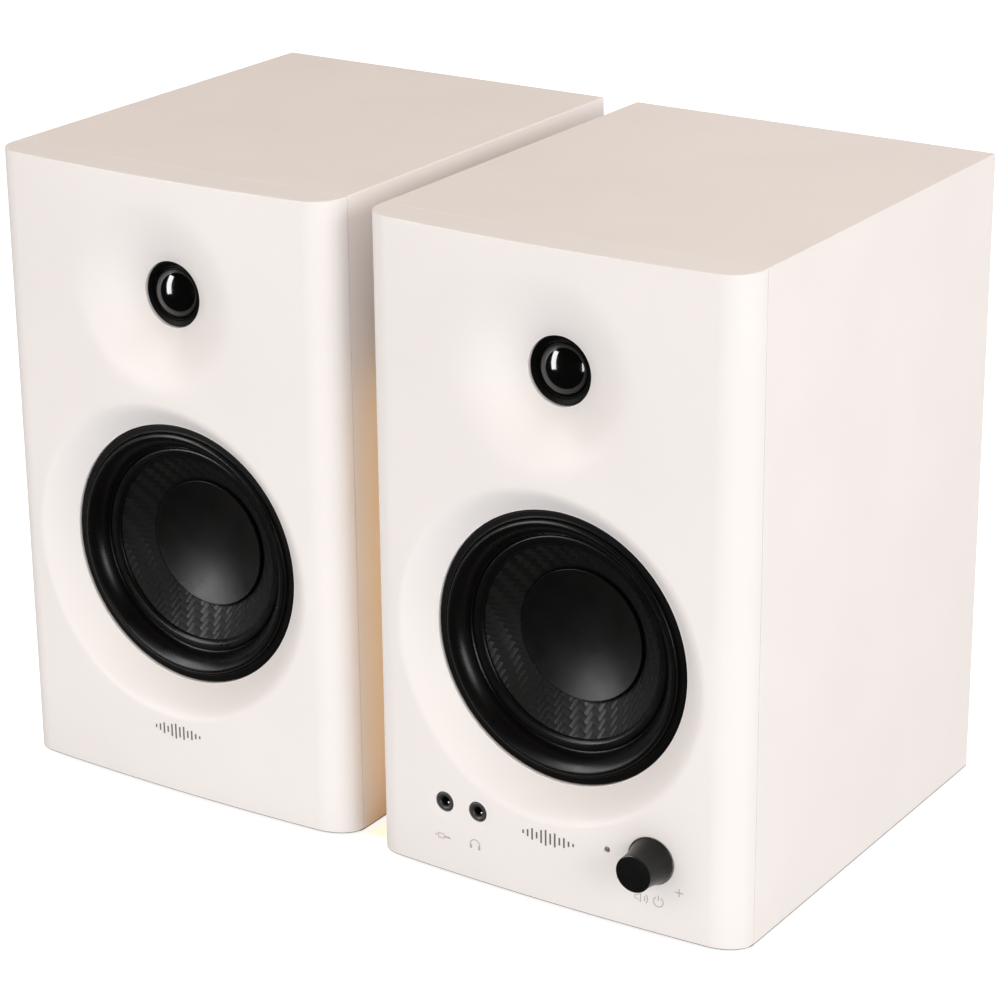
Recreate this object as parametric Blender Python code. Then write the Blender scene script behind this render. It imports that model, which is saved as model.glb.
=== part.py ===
"""A pair of compact two-way desktop speakers, one active and one passive.

Metres, +Z up, fronts facing -Y. Each speaker is modelled around an empty on its centre plane.
Local y is 0 at the plane behind the baffle that the drivers are mounted on and grows to the back,
local z is 0 at the cabinet's underside.
"""

import math

import bmesh
import bpy

# Driving dimensions
CABINET_WIDTH = 0.140
CABINET_HEIGHT = 0.2264
CABINET_DEPTH = 0.1588
WALL = 0.010
FOOT_HEIGHT = 0.0016
SPEAKER_PITCH = 0.1537
FIT_GAP = 0.0003

# Front baffle
BAFFLE_THICKNESS = 0.0143
SEAM_Y = 0.0013
UNDERCUT_RISE = 0.0030
BOW_RADIUS = 0.739
CORNER_RADIUS = 0.011
CONTROL_HEIGHT = 0.0284
AUX_JACK_X = -0.0398
HEADPHONE_JACK_X = -0.0263
STATUS_LIGHT_X = 0.0239
VOLUME_X = 0.0398

# Woofer
WOOFER_Z = 0.0894
WOOFER_HOLE = 0.0472
WOOFER_DISH = 0.0585
DISH_FLOOR_Y = -0.0040
WOOFER_FLANGE = 0.0560
ROLL_OUTER = 0.0443
ROLL_INNER = 0.0380
CONE_RIM = 0.0332
CONE_NECK = 0.0130
CAP_RADIUS = 0.0228
CAP_DEPTH = 0.0035
COIL_RADIUS = 0.0125
MAGNET_RADIUS = 0.0360

# Tweeter
TWEETER_Z = 0.1835
TWEETER_HOLE = 0.0116
TWEETER_DISH = 0.0345
DOME_RADIUS = 0.0088
DOME_RISE = 0.0040

# Volume control
KNOB_BASE = 0.0080
KNOB_FACE = 0.0063
KNOB_BACK_Y = -0.0127
KNOB_FRONT_Y = -0.0243
SHAFT_RADIUS = 0.0028

# Rear
PANEL_Y = 0.1453
PANEL_THICKNESS = 0.010
PLATE_Y = 0.1556
PLATE_THICKNESS = 0.0020
PLATE_WIDTH = 0.108
PLATE_LOW = 0.016
PLATE_HIGH = 0.142
PORT_Z = 0.180
PORT_RADIUS = 0.0200
PORT_HOLE = 0.0275
PORT_START_Y = 0.0700
TRIM_KNOB_END_Y = 0.1732
TERMINAL_Z = 0.056
LEVER_TILT = math.radians(28)

# The box of the pair runs from the volume knob's face to the trim knobs' faces.
ORIGIN_Y = -(KNOB_FRONT_Y + TRIM_KNOB_END_Y) / 2

# Facets around a full turn
LARGE = 32
MEDIUM = 20
SMALL = 12

MERGE_DISTANCE = 1e-6
SMOOTH_ANGLE = math.radians(35)


# Helpers

def clear_scene():
    for obj in list(bpy.data.objects):
        bpy.data.objects.remove(obj, do_unlink=True)


def make_look(name, color, roughness, metallic=0.0):
    look = bpy.data.materials.new(name)
    look.use_nodes = True
    shader = look.node_tree.nodes["Principled BSDF"]
    shader.inputs["Base Color"].default_value = (*color, 1.0)
    shader.inputs["Roughness"].default_value = roughness
    shader.inputs["Metallic"].default_value = metallic
    return look


def add_object(name, bm, look, parent, location):
    bmesh.ops.remove_doubles(bm, verts=bm.verts, dist=MERGE_DISTANCE)
    bmesh.ops.recalc_face_normals(bm, faces=bm.faces)
    mesh = bpy.data.meshes.new(name)
    bm.to_mesh(mesh)
    bm.free()
    mesh.shade_smooth()
    mesh.set_sharp_from_angle(angle=SMOOTH_ANGLE)
    if look:
        mesh.materials.append(look)
    obj = bpy.data.objects.new(name, mesh)
    bpy.context.collection.objects.link(obj)
    obj.parent = parent
    obj.location = location
    return obj


def turned(name, profile, look, parent, location, segments):
    """A body turned about its own Y axis.

    The profile is a loop of (radius, y) points, or a chain with both ends on the axis.
    """
    bm = bmesh.new()
    verts = [bm.verts.new((radius, y, 0)) for radius, y in profile]
    edges = [bm.edges.new(pair) for pair in zip(verts, verts[1:])]
    if profile[0][0] > 0:
        edges.append(bm.edges.new((verts[-1], verts[0])))
    bmesh.ops.spin(
        bm, geom=verts + edges, cent=(0, 0, 0), axis=(0, 1, 0), dvec=(0, 0, 0),
        angle=2 * math.pi, steps=segments, use_merge=True, use_duplicate=False,
    )
    return add_object(name, bm, look, parent, location)


def rod(name, radius, start, end, look, parent, location, segments=SMALL):
    """A solid cylinder along Y."""
    profile = [(0, start), (radius, start), (radius, end), (0, end)]
    return turned(name, profile, look, parent, location, segments)


def block(name, low, high, look, parent, location=(0, 0, 0)):
    bm = bmesh.new()
    bmesh.ops.create_cube(bm, size=1)
    size = [b - a for a, b in zip(low, high)]
    centre = [(a + b) / 2 for a, b in zip(low, high)]
    bmesh.ops.scale(bm, vec=size, verts=bm.verts)
    bmesh.ops.translate(bm, vec=centre, verts=bm.verts)
    return add_object(name, bm, look, parent, location)


def extruded(name, corners, travel, look, parent, location=(0, 0, 0)):
    """A prism: the flat outline through the 3-D corners, extruded by the vector travel."""
    bm = bmesh.new()
    face = bm.faces.new([bm.verts.new(corner) for corner in corners])
    moved = bmesh.ops.extrude_face_region(bm, geom=[face])["geom"]
    verts = [item for item in moved if isinstance(item, bmesh.types.BMVert)]
    bmesh.ops.translate(bm, vec=travel, verts=verts)
    return add_object(name, bm, look, parent, location)


def combine(target, tool, operation):
    """Adds a Boolean to target, and turns tool into a hidden helper."""
    tool.hide_render = True
    tool.display_type = "WIRE"
    modifier = target.modifiers.new(tool.name, "BOOLEAN")
    modifier.solver = "EXACT"
    modifier.operation = operation
    modifier.object = tool


def cut(target, tool):
    combine(target, tool, "DIFFERENCE")


def join(target, tool):
    combine(target, tool, "UNION")


def arc(centre, radii, start, end, steps):
    """Points on an ellipse's arc, from angle start to angle end."""
    points = []
    for i in range(steps + 1):
        angle = start + (end - start) * i / steps
        points.append((centre[0] + radii[0] * math.cos(angle), centre[1] + radii[1] * math.sin(angle)))
    return points


# Front baffle

def baffle_outline():
    """Plan of the baffle: a flat back, a bowed front, and corner arcs tangent to the bow and the sides."""
    half = CABINET_WIDTH / 2
    bow_y = BOW_RADIUS - BAFFLE_THICKNESS
    corner_x = half - CORNER_RADIUS
    corner_y = bow_y - math.sqrt((BOW_RADIUS - CORNER_RADIUS) ** 2 - corner_x ** 2)
    touch = math.atan2(corner_y - bow_y, corner_x)
    corner = arc((corner_x, corner_y), (CORNER_RADIUS, CORNER_RADIUS), 0, touch, 6)
    bow = arc((0, bow_y), (BOW_RADIUS, BOW_RADIUS), touch, -math.pi - touch, 6)
    right = [(half, SEAM_Y - FIT_GAP)] + corner
    left = [(-x, y) for x, y in reversed(right)]
    return right + bow[1:-1] + left


def woofer_dish_profile():
    """The recess that leads in to the woofer, cut past the bowed front so that its rim follows the bow."""
    slope = (WOOFER_DISH - WOOFER_HOLE) / (BAFFLE_THICKNESS + DISH_FLOOR_Y)
    front = -BAFFLE_THICKNESS - 0.002
    reach = WOOFER_HOLE + slope * (DISH_FLOOR_Y - front)
    return [(0, front), (reach, front), (WOOFER_HOLE, DISH_FLOOR_Y), (WOOFER_HOLE, 0.002), (0, 0.002)]


def tweeter_dish_profile():
    """A shallow horn whose wall flattens towards the front face."""
    depth = BAFFLE_THICKNESS + DISH_FLOOR_Y
    wall = []
    for i in range(6):
        t = i / 5
        radius = TWEETER_HOLE + (TWEETER_DISH - TWEETER_HOLE) * t
        wall.append((radius, DISH_FLOOR_Y - depth * (1 - (1 - t) ** 1.7)))
    rim = [(TWEETER_DISH + 0.004, -BAFFLE_THICKNESS - 0.001), (0, -BAFFLE_THICKNESS - 0.001)]
    return [(0, 0.002), (TWEETER_HOLE, 0.002)] + wall + rim


def cut_control_holes(baffle, side, speaker):
    for label, x, radius in (
        ("aux", AUX_JACK_X, 0.0035),
        ("headphone", HEADPHONE_JACK_X, 0.0035),
        ("light", STATUS_LIGHT_X, 0.0012),
        ("volume", VOLUME_X, 0.0048),
    ):
        place = (x, 0, CONTROL_HEIGHT)
        cut(baffle, rod(f"{side}_{label}_cutter", radius, -0.020, 0.002, None, speaker, place))
    pocket = rod(
        f"{side}_pocket_cutter", KNOB_BASE + 0.0007, -0.020, KNOB_BACK_Y + 0.0009, None, speaker,
        (VOLUME_X, 0, CONTROL_HEIGHT), MEDIUM,
    )
    cut(baffle, pocket)


def cut_rim_and_underside(baffle, side, speaker):
    """Leaves a rim around the back, and slopes the underside up towards the front."""
    half = CABINET_WIDTH / 2 - WALL
    cut(baffle, block(
        f"{side}_rim_cutter", (-half, -FIT_GAP, WALL), (half, 0.005, CABINET_HEIGHT - WALL), None, speaker
    ))
    front = 1.2 * BAFFLE_THICKNESS
    rise = 1.2 * UNDERCUT_RISE
    reach = CABINET_WIDTH + 0.010
    wedge = [(-reach / 2, y, z) for y, z in ((0, 0), (-front, rise), (-front, -rise), (0, -rise))]
    cut(baffle, extruded(f"{side}_undercut_cutter", wedge, (reach, 0, 0), None, speaker))


def front_baffle(side, speaker, look):
    corners = [(x, y, 0) for x, y in baffle_outline()]
    baffle = extruded(f"{side}_front_baffle", corners, (0, 0, CABINET_HEIGHT), look, speaker)
    cut_rim_and_underside(baffle, side, speaker)
    dish = turned(
        f"{side}_woofer_dish_cutter", woofer_dish_profile(), None, speaker, (0, 0, WOOFER_Z), LARGE
    )
    horn = turned(
        f"{side}_tweeter_dish_cutter", tweeter_dish_profile(), None, speaker, (0, 0, TWEETER_Z), MEDIUM
    )
    cut(baffle, dish)
    cut(baffle, horn)
    if side == "active":
        cut_control_holes(baffle, side, speaker)


# Cabinet

def cabinet(side, speaker, look):
    half = CABINET_WIDTH / 2
    shell = block(
        f"{side}_cabinet", (-half, SEAM_Y, 0), (half, CABINET_DEPTH, CABINET_HEIGHT), look, speaker
    )
    inside = half - WALL
    hollow = block(
        f"{side}_cabinet_cutter", (-inside, -0.01, WALL),
        (inside, CABINET_DEPTH + 0.01, CABINET_HEIGHT - WALL), None, speaker,
    )
    cut(shell, hollow)


def rear_panel(side, speaker, look, opening):
    """The inset back, with the port's hole and one square opening (half width, low z, high z)."""
    half = CABINET_WIDTH / 2 - WALL - FIT_GAP
    low = WALL + FIT_GAP
    end = PANEL_Y + PANEL_THICKNESS
    panel = block(
        f"{side}_rear_panel", (-half, PANEL_Y, low), (half, end, CABINET_HEIGHT - low), look, speaker
    )
    cut(panel, rod(
        f"{side}_port_cutter", PORT_HOLE, PANEL_Y - 0.01, end + 0.01, None, speaker, (0, 0, PORT_Z), MEDIUM
    ))
    width, bottom, top = opening
    cut(panel, block(
        f"{side}_panel_cutter", (-width, PANEL_Y - 0.01, bottom), (width, end + 0.01, top), None, speaker
    ))


def port_tube(side, speaker, look):
    """The bass port: a tube with a flared mouth in the rear panel."""
    outer = PORT_RADIUS + 0.0022
    mouth = CABINET_DEPTH - 0.0003
    flare_start = 0.1430
    flare = arc((PORT_RADIUS + 0.0062, flare_start), (0.0062, mouth - flare_start), math.pi, math.pi / 2, 3)
    profile = [(outer, PORT_START_Y), (PORT_RADIUS, PORT_START_Y)] + flare + [
        (0.0300, mouth),
        (0.0300, PLATE_Y),
        (PORT_HOLE - FIT_GAP, PLATE_Y),
        (PORT_HOLE - FIT_GAP, 0.1500),
        (outer, 0.1410),
    ]
    turned(f"{side}_port_tube", profile, look, speaker, (0, 0, PORT_Z), MEDIUM)


def feet(side, speaker, look):
    radius = 0.0065
    for end, y in (("front", 0.012), ("rear", CABINET_DEPTH - 0.014)):
        for hand, x in (("left", -0.056), ("right", 0.056)):
            bm = bmesh.new()
            bmesh.ops.create_cone(
                bm, cap_ends=True, segments=SMALL, radius1=radius, radius2=radius,
                depth=FOOT_HEIGHT - FIT_GAP,
            )
            place = (x, y, -(FOOT_HEIGHT + FIT_GAP) / 2)
            add_object(f"{side}_foot_{end}_{hand}", bm, look, speaker, place)


# Woofer

def roll_points(shrink, start, end):
    """The roll's section: half an ellipse on a chord that drops from the rim to the lip."""
    middle = (ROLL_OUTER + ROLL_INNER) / 2
    half = (ROLL_OUTER - ROLL_INNER) / 2 - shrink
    points = []
    for i in range(5):
        angle = start + (end - start) * i / 4
        chord = -0.0035 + 0.0045 * (1 - math.cos(angle)) / 2
        points.append((middle + half * math.cos(angle), chord - (0.0030 - shrink) * math.sin(angle)))
    return points


def woofer_surround(side, speaker, look):
    """Rubber edge: a thick outer rim in the baffle's hole, an arched roll and a lip over the cone."""
    thickness = 0.0008
    rim = 0.0468
    lip = 0.0010
    profile = [(rim, -0.0035)] + roll_points(0, 0, math.pi) + [
        (CONE_RIM, lip),
        (CONE_RIM, lip + 0.0010),
        (ROLL_INNER + thickness, lip + 0.0010),
    ] + roll_points(thickness, math.pi, 0) + [(ROLL_OUTER - thickness, -FIT_GAP), (rim, -FIT_GAP)]
    turned(f"{side}_woofer_surround", profile, look, speaker, (0, 0, WOOFER_Z), LARGE)


def woofer_cone(side, speaker, look):
    thickness = 0.0012
    rim_y = 0.0025
    neck_y = 0.0172
    profile = [
        (0.0376, 0.0023),
        (CONE_RIM, rim_y),
        (CONE_NECK, neck_y),
        (CONE_NECK, neck_y + thickness),
        (CONE_RIM, rim_y + thickness),
        (0.0376, 0.0023 + thickness),
    ]
    turned(f"{side}_woofer_cone", profile, look, speaker, (0, 0, WOOFER_Z), LARGE)


def woofer_dust_cap(side, speaker, look):
    """A dished cap, lowest at its centre."""
    edge_y = 0.0090
    thickness = 0.0007
    steps = 2
    radii = [CAP_RADIUS * i / steps for i in range(steps + 1)]
    front = [(r, edge_y + CAP_DEPTH * (1 - (r / CAP_RADIUS) ** 2)) for r in radii]
    back = [(r, y + thickness) for r, y in reversed(front)]
    turned(f"{side}_woofer_dust_cap", front + back, look, speaker, (0, 0, WOOFER_Z), LARGE)


def woofer_voice_coil(side, speaker, look):
    inner = COIL_RADIUS - 0.0006
    profile = [(inner, 0.0150), (COIL_RADIUS, 0.0150), (COIL_RADIUS, 0.0420), (inner, 0.0420)]
    turned(f"{side}_woofer_voice_coil", profile, look, speaker, (0, 0, WOOFER_Z), MEDIUM)


def woofer_spider(side, speaker, look):
    """The corrugated disc that centres the voice coil."""
    inner = COIL_RADIUS + 0.0006
    outer = 0.0310
    waves = 3
    top = []
    for i in range(waves + 1):
        top.append((inner + (outer - inner) * i / waves, 0.0233 + 0.0006 * (i % 2)))
    bottom = [(radius, y + 0.0006) for radius, y in reversed(top)]
    turned(f"{side}_woofer_spider", top + bottom, look, speaker, (0, 0, WOOFER_Z), MEDIUM)


def woofer_basket(side, speaker, look):
    """The driver's frame: a flange behind the baffle, a spoked cone and a bottom plate with a shelf."""
    profile = [
        (0.0445, 0.0),
        (WOOFER_FLANGE, 0.0),
        (WOOFER_FLANGE, 0.0025),
        (0.0480, 0.0025),
        (0.0338, 0.0235),
        (0.0338, 0.0330),
        (0.0140, 0.0330),
        (0.0140, 0.0310),
        (0.0285, 0.0310),
        (0.0285, 0.0246),
        (0.0318, 0.0246),
        (0.0318, 0.0225),
        (0.0445, 0.0040),
    ]
    basket = turned(f"{side}_woofer_basket", profile, look, speaker, (0, 0, WOOFER_Z), MEDIUM)
    for index in range(3):
        bar = block(
            f"{side}_window_cutter_{index}", (-0.060, 0.0065, -0.0115), (0.060, 0.0205, 0.0115),
            None, speaker, (0, 0, WOOFER_Z),
        )
        bar.rotation_euler = (0, math.radians(30 + 60 * index), 0)
        cut(basket, bar)


def woofer_magnet(side, speaker, look):
    """Top plate, ring magnet and back plate, with a ring slot for the coil around the pole piece."""
    profile = [
        (0, 0.0360),
        (0.0112, 0.0360),
        (0.0112, 0.0500),
        (0.0142, 0.0500),
        (0.0142, 0.0333),
        (0.0300, 0.0333),
        (0.0300, 0.0373),
        (MAGNET_RADIUS, 0.0373),
        (MAGNET_RADIUS, 0.0523),
        (0.0330, 0.0523),
        (0.0330, 0.0573),
        (0, 0.0573),
    ]
    turned(f"{side}_woofer_magnet", profile, look, speaker, (0, 0, WOOFER_Z), MEDIUM)


# Tweeter

def tweeter_housing(side, speaker, look):
    """The front ring, the flange behind the baffle and the magnet's can, as one casting."""
    ring_y = -0.0037
    inner = DOME_RADIUS + 0.0005
    profile = [
        (0, 0.0040),
        (inner, 0.0040),
        (inner, ring_y),
        (TWEETER_HOLE - FIT_GAP, ring_y),
        (TWEETER_HOLE - FIT_GAP, 0.0),
        (0.0250, 0.0),
        (0.0250, 0.0025),
        (0.0180, 0.0025),
        (0.0180, 0.0200),
        (0, 0.0200),
    ]
    turned(f"{side}_tweeter_housing", profile, look, speaker, (0, 0, TWEETER_Z), MEDIUM)


def tweeter_dome(side, speaker, look):
    thickness = 0.0006
    edge_y = -0.0018
    front = arc((0, edge_y), (DOME_RADIUS, -DOME_RISE), math.pi / 2, 0, 3)
    inside = (DOME_RADIUS - thickness, thickness - DOME_RISE)
    back = arc((0, edge_y), inside, 0, math.pi / 2, 3)
    skirt = [(DOME_RADIUS, edge_y + 0.001), (DOME_RADIUS - thickness, edge_y + 0.001)]
    front[0] = (0, front[0][1])
    back[-1] = (0, back[-1][1])
    turned(f"{side}_tweeter_dome", front + skirt + back, look, speaker, (0, 0, TWEETER_Z), MEDIUM)


# Front controls of the active speaker

def front_jack(name, x, speaker, look):
    """A 3.5 mm socket: a barrel through the baffle with a blind bore, and a wider body behind."""
    bore = 0.00178
    profile = [
        (0, 0.0080),
        (bore, 0.0080),
        (bore, -0.0132),
        (0.0032, -0.0132),
        (0.0032, 0.0),
        (0.0050, 0.0),
        (0.0050, 0.0117),
        (0, 0.0117),
    ]
    turned(name, profile, look, speaker, (x, 0, CONTROL_HEIGHT), SMALL)


def volume_knob(speaker, look):
    """A slim spool: a flared base, a waisted side and a flat face, bored for its shaft."""
    side = []
    steps = 3
    for i in range(steps + 1):
        t = i / steps
        radius = KNOB_FACE + (KNOB_BASE - KNOB_FACE) * (1 - t) ** 2
        side.append((radius, KNOB_BACK_Y - 0.0012 + (KNOB_FRONT_Y + 0.0006 - KNOB_BACK_Y + 0.0012) * t))
    bore = SHAFT_RADIUS + FIT_GAP
    profile = [(0, -0.0200), (bore, -0.0200), (bore, KNOB_BACK_Y), (KNOB_BASE, KNOB_BACK_Y)]
    profile += side + [(KNOB_FACE - 0.0006, KNOB_FRONT_Y), (0, KNOB_FRONT_Y)]
    turned("volume_knob", profile, look, speaker, (VOLUME_X, 0, CONTROL_HEIGHT), MEDIUM)


def volume_encoder(speaker, look):
    """A square housing on the control board, with a bushing through the baffle."""
    place = (VOLUME_X, 0, CONTROL_HEIGHT)
    housing = block("volume_encoder", (-0.006, 0.0, -0.006), (0.006, 0.0117, 0.006), look, speaker, place)
    join(housing, rod("encoder_bushing_tool", 0.0045, -0.0105, 0.004, None, speaker, place))
    bore = rod("encoder_bore_cutter", SHAFT_RADIUS + 0.0004, -0.02, 0.0100, None, speaker, place)
    cut(housing, bore)


def front_controls(speaker, looks):
    place = (VOLUME_X, 0, CONTROL_HEIGHT)
    front_jack("aux_jack", AUX_JACK_X, speaker, looks["black_plastic"])
    front_jack("headphone_jack", HEADPHONE_JACK_X, speaker, looks["black_plastic"])
    rod(
        "status_light", 0.0009, -0.0140, 0.0117, looks["light_pipe"], speaker,
        (STATUS_LIGHT_X, 0, CONTROL_HEIGHT),
    )
    volume_knob(speaker, looks["black_plastic"])
    volume_encoder(speaker, looks["black_plastic"])
    rod("volume_shaft", SHAFT_RADIUS, -0.0197, 0.0042, looks["steel"], speaker, place)
    rod("encoder_plunger", SHAFT_RADIUS, 0.0045, 0.0090, looks["steel"], speaker, place)
    block("control_board", (-0.052, 0.0120, 0.0105), (0.054, 0.0136, 0.0385), looks["board"], speaker)


# Rear of the active speaker

REAR_DEVICES = {
    "treble_knob": (0.034, 0.126),
    "bass_knob": (0.010, 0.126),
    "line_in_right": (0.034, 0.096),
    "line_in_left": (0.010, 0.096),
    "rca_sockets": (-0.034, 0.116),
    "power_switch_frame": (-0.034, 0.077),
    "mains_inlet": (-0.034, 0.041),
    "output_terminal": (0.022, TERMINAL_Z),
}
RCA_OFFSETS = (-0.0075, 0.0075)


def rear_plate(speaker, look):
    """The metal connection plate, with a hole for each device on it."""
    end = PLATE_Y + PLATE_THICKNESS
    half = PLATE_WIDTH / 2
    plate = block("rear_plate", (-half, PLATE_Y, PLATE_LOW), (half, end, PLATE_HIGH), look, speaker)
    round_holes = [
        (REAR_DEVICES["treble_knob"], 0.0033),
        (REAR_DEVICES["bass_knob"], 0.0033),
        (REAR_DEVICES["line_in_right"], 0.0058),
        (REAR_DEVICES["line_in_left"], 0.0058),
    ]
    rca_x, rca_z = REAR_DEVICES["rca_sockets"]
    round_holes += [((rca_x, rca_z + offset), 0.0045) for offset in RCA_OFFSETS]
    for index, ((x, z), radius) in enumerate(round_holes):
        cut(plate, rod(
            f"plate_round_cutter_{index}", radius, PLATE_Y - 0.01, end + 0.01, None, speaker, (x, 0, z)
        ))
    for name, half_x, half_z in (
        ("power_switch_frame", 0.0078, 0.0113),
        ("mains_inlet", 0.0128, 0.0088),
        ("output_terminal", 0.0183, 0.0143),
    ):
        x, z = REAR_DEVICES[name]
        cut(plate, block(
            f"plate_{name}_cutter", (-half_x, PLATE_Y - 0.01, -half_z), (half_x, end + 0.01, half_z),
            None, speaker, (x, 0, z),
        ))


def line_socket(name, speaker, look):
    """A 6.35 mm socket: a nut outside the plate, a neck through it and a body inside."""
    bore = 0.0033
    profile = [
        (0, 0.1360),
        (bore, 0.1360),
        (bore, 0.1605),
        (0.0082, 0.1605),
        (0.0082, 0.1579),
        (0.0055, 0.1579),
        (0.0055, 0.1553),
        (0.0080, 0.1553),
        (0.0080, 0.1330),
        (0, 0.1330),
    ]
    x, z = REAR_DEVICES[name]
    turned(name, profile, look, speaker, (x, 0, z), SMALL)


def rca_sockets(speaker, look):
    """Two stacked phono sockets on one body."""
    x, z = REAR_DEVICES["rca_sockets"]
    body = block("rca_sockets", (-0.0070, 0.1400, -0.0150), (0.0070, 0.1553, 0.0150), look, speaker, (x, 0, z))
    for index, offset in enumerate(RCA_OFFSETS):
        place = (x, 0, z + offset)
        join(body, rod(f"rca_barrel_tool_{index}", 0.0041, 0.1500, 0.1670, None, speaker, place))
    for index, offset in enumerate(RCA_OFFSETS):
        place = (x, 0, z + offset)
        cut(body, rod(f"rca_bore_cutter_{index}", 0.0016, 0.1560, 0.1700, None, speaker, place))


def trim_knob(name, speaker, look):
    """A tone knob with its shaft through the plate."""
    profile = [
        (0, 0.1480),
        (0.0028, 0.1480),
        (0.0028, 0.1582),
        (0.0070, 0.1582),
        (0.0062, TRIM_KNOB_END_Y - 0.0008),
        (0.0054, TRIM_KNOB_END_Y),
        (0, TRIM_KNOB_END_Y),
    ]
    x, z = REAR_DEVICES[name]
    turned(name, profile, look, speaker, (x, 0, z), SMALL)


def flanged_box(name, half_x, half_z, start, look, speaker, place):
    """A device body through the plate, with a thin flange outside it."""
    body = block(name, (-half_x, start, -half_z), (half_x, 0.1593, half_z), look, speaker, place)
    flange = block(
        f"{name}_flange_tool", (-half_x - 0.0015, 0.1579, -half_z - 0.0015),
        (half_x + 0.0015, 0.1593, half_z + 0.0015), None, speaker, place,
    )
    join(body, flange)
    return body


def power_switch(speaker, look):
    """The switch's frame and its rocker, which pivots on the X axis through the rocker's origin."""
    x, z = REAR_DEVICES["power_switch_frame"]
    frame = flanged_box("power_switch_frame", 0.0075, 0.0110, 0.1400, look, speaker, (x, 0, z))
    cut(frame, block(
        "switch_cutter", (-0.0056, 0.1500, -0.0089), (0.0056, 0.1700, 0.0089), None, speaker, (x, 0, z)
    ))
    outline = [(-0.0035, -0.0060), (0.0030, -0.0077), (0.0016, 0.0), (0.0030, 0.0077), (-0.0035, 0.0060)]
    corners = [(-0.0050, y, height) for y, height in outline]
    rocker = extruded("power_rocker", corners, (0.0100, 0, 0), look, speaker, (x, 0.1575, z))
    rocker.rotation_euler = (math.radians(-7.5), 0, 0)


def mains_inlet(speaker, look):
    """A two-pin inlet with a rounded recess."""
    x, z = REAR_DEVICES["mains_inlet"]
    place = (x, 0, z)
    body = flanged_box("mains_inlet", 0.0125, 0.0085, 0.1380, look, speaker, place)
    right = arc((0.0030, 0), (0.0042, 0.0043), -math.pi / 2, math.pi / 2, 5)
    left = [(-a, b) for a, b in reversed(right)]
    corners = [(a, 0.1440, b) for a, b in right + left]
    cut(body, extruded("inlet_cutter", corners, (0, 0.0200, 0), None, speaker, place))
    for index, offset in enumerate((-0.0043, 0.0043)):
        pin = rod(f"inlet_pin_tool_{index}", 0.0012, 0.1420, 0.1560, None, speaker, (x + offset, 0, z), 8)
        join(body, pin)


def terminal(name, x, speaker, looks, flanged):
    """A spring-clip terminal block with two wire holes, and a lever above each."""
    place = (x, 0, TERMINAL_Z)
    body = block(name, (-0.0180, 0.1420, -0.0140), (0.0180, 0.1640, 0.0140), looks["black_plastic"], speaker, place)
    if flanged:
        join(body, block(
            f"{name}_flange_tool", (-0.0230, PLATE_Y, -0.0190), (0.0230, PLATE_Y + 0.002, 0.0190),
            None, speaker, place,
        ))
    side = name.split("_")[0] if flanged else "active"
    for color, offset in (("red", 0.0085), ("black", -0.0085)):
        hole = rod(
            f"{name}_{color}_hole_cutter", 0.0017, 0.1500, 0.1700, None, speaker,
            (x + offset, 0, TERMINAL_Z - 0.0075),
        )
        cut(body, hole)
        clip_lever(f"{side}_{color}_clip", x + offset, speaker, looks[f"{color}_plastic"])


def clip_lever(name, x, speaker, look):
    """A lever that tilts on the X axis through its origin, at the root by the block's face."""
    lever = block(name, (-0.0050, -0.0008, -0.0012), (0.0050, 0.0078, 0.0012), look, speaker)
    lever.location = (x, 0.1655, TERMINAL_Z + 0.0045)
    lever.rotation_euler = (LEVER_TILT, 0, 0)


def amplifier_board(speaker, look):
    """The board behind the plate, with a finned heat sink and two capacitors on it."""
    board = block("amplifier_board", (-0.050, 0.1310, 0.020), (0.050, 0.1326, 0.138), look, speaker)
    for index in range(4):
        z = 0.062 + 0.009 * index
        fin = block(f"fin_tool_{index}", (-0.030, 0.1130, z), (0.030, 0.1315, z + 0.003), None, speaker)
        join(board, fin)
    for index, x in enumerate((-0.024, 0.024)):
        join(board, rod(f"capacitor_tool_{index}", 0.0080, 0.1080, 0.1315, None, speaker, (x, 0, 0.116)))


def transformer(speaker, look):
    """A laminated core with its winding, standing on the cabinet's floor."""
    low = WALL + FIT_GAP
    core = block("transformer", (-0.028, 0.080, low), (0.028, 0.096, low + 0.042), look, speaker)
    join(core, block("winding_tool", (-0.018, 0.068, low + 0.008), (0.018, 0.108, low + 0.034), None, speaker))


def crossover_board(speaker, look):
    """The passive speaker's filter board, with its coil and capacitor."""
    board = block("crossover_board", (-0.030, 0.1430, 0.080), (0.030, 0.1446, 0.140), look, speaker)
    join(board, rod("coil_tool", 0.0120, 0.1250, 0.1435, None, speaker, (-0.014, 0, 0.098)))
    join(board, rod("filter_capacitor_tool", 0.0070, 0.1200, 0.1435, None, speaker, (0.014, 0, 0.122)))


# Assembly

def make_looks():
    return {
        "cabinet_white": make_look("cabinet_white", (0.86, 0.83, 0.80), 0.45),
        "baffle_white": make_look("baffle_white", (0.88, 0.86, 0.84), 0.40),
        "black_plastic": make_look("black_plastic", (0.012, 0.012, 0.012), 0.50),
        "red_plastic": make_look("red_plastic", (0.45, 0.02, 0.02), 0.45),
        "light_pipe": make_look("light_pipe", (0.30, 0.28, 0.26), 0.30),
        "rubber": make_look("rubber", (0.010, 0.010, 0.010), 0.60),
        "cone": make_look("cone", (0.020, 0.020, 0.020), 0.45),
        "dust_cap": make_look("dust_cap", (0.012, 0.012, 0.012), 0.55),
        "dome": make_look("dome", (0.008, 0.008, 0.008), 0.15),
        "steel": make_look("steel", (0.45, 0.45, 0.45), 0.40, 1.0),
        "magnet": make_look("magnet", (0.06, 0.06, 0.06), 0.55, 0.4),
        "copper": make_look("copper", (0.55, 0.25, 0.12), 0.35, 1.0),
        "spider": make_look("spider", (0.45, 0.28, 0.10), 0.80),
        "board": make_look("board", (0.03, 0.16, 0.06), 0.50),
    }


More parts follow.
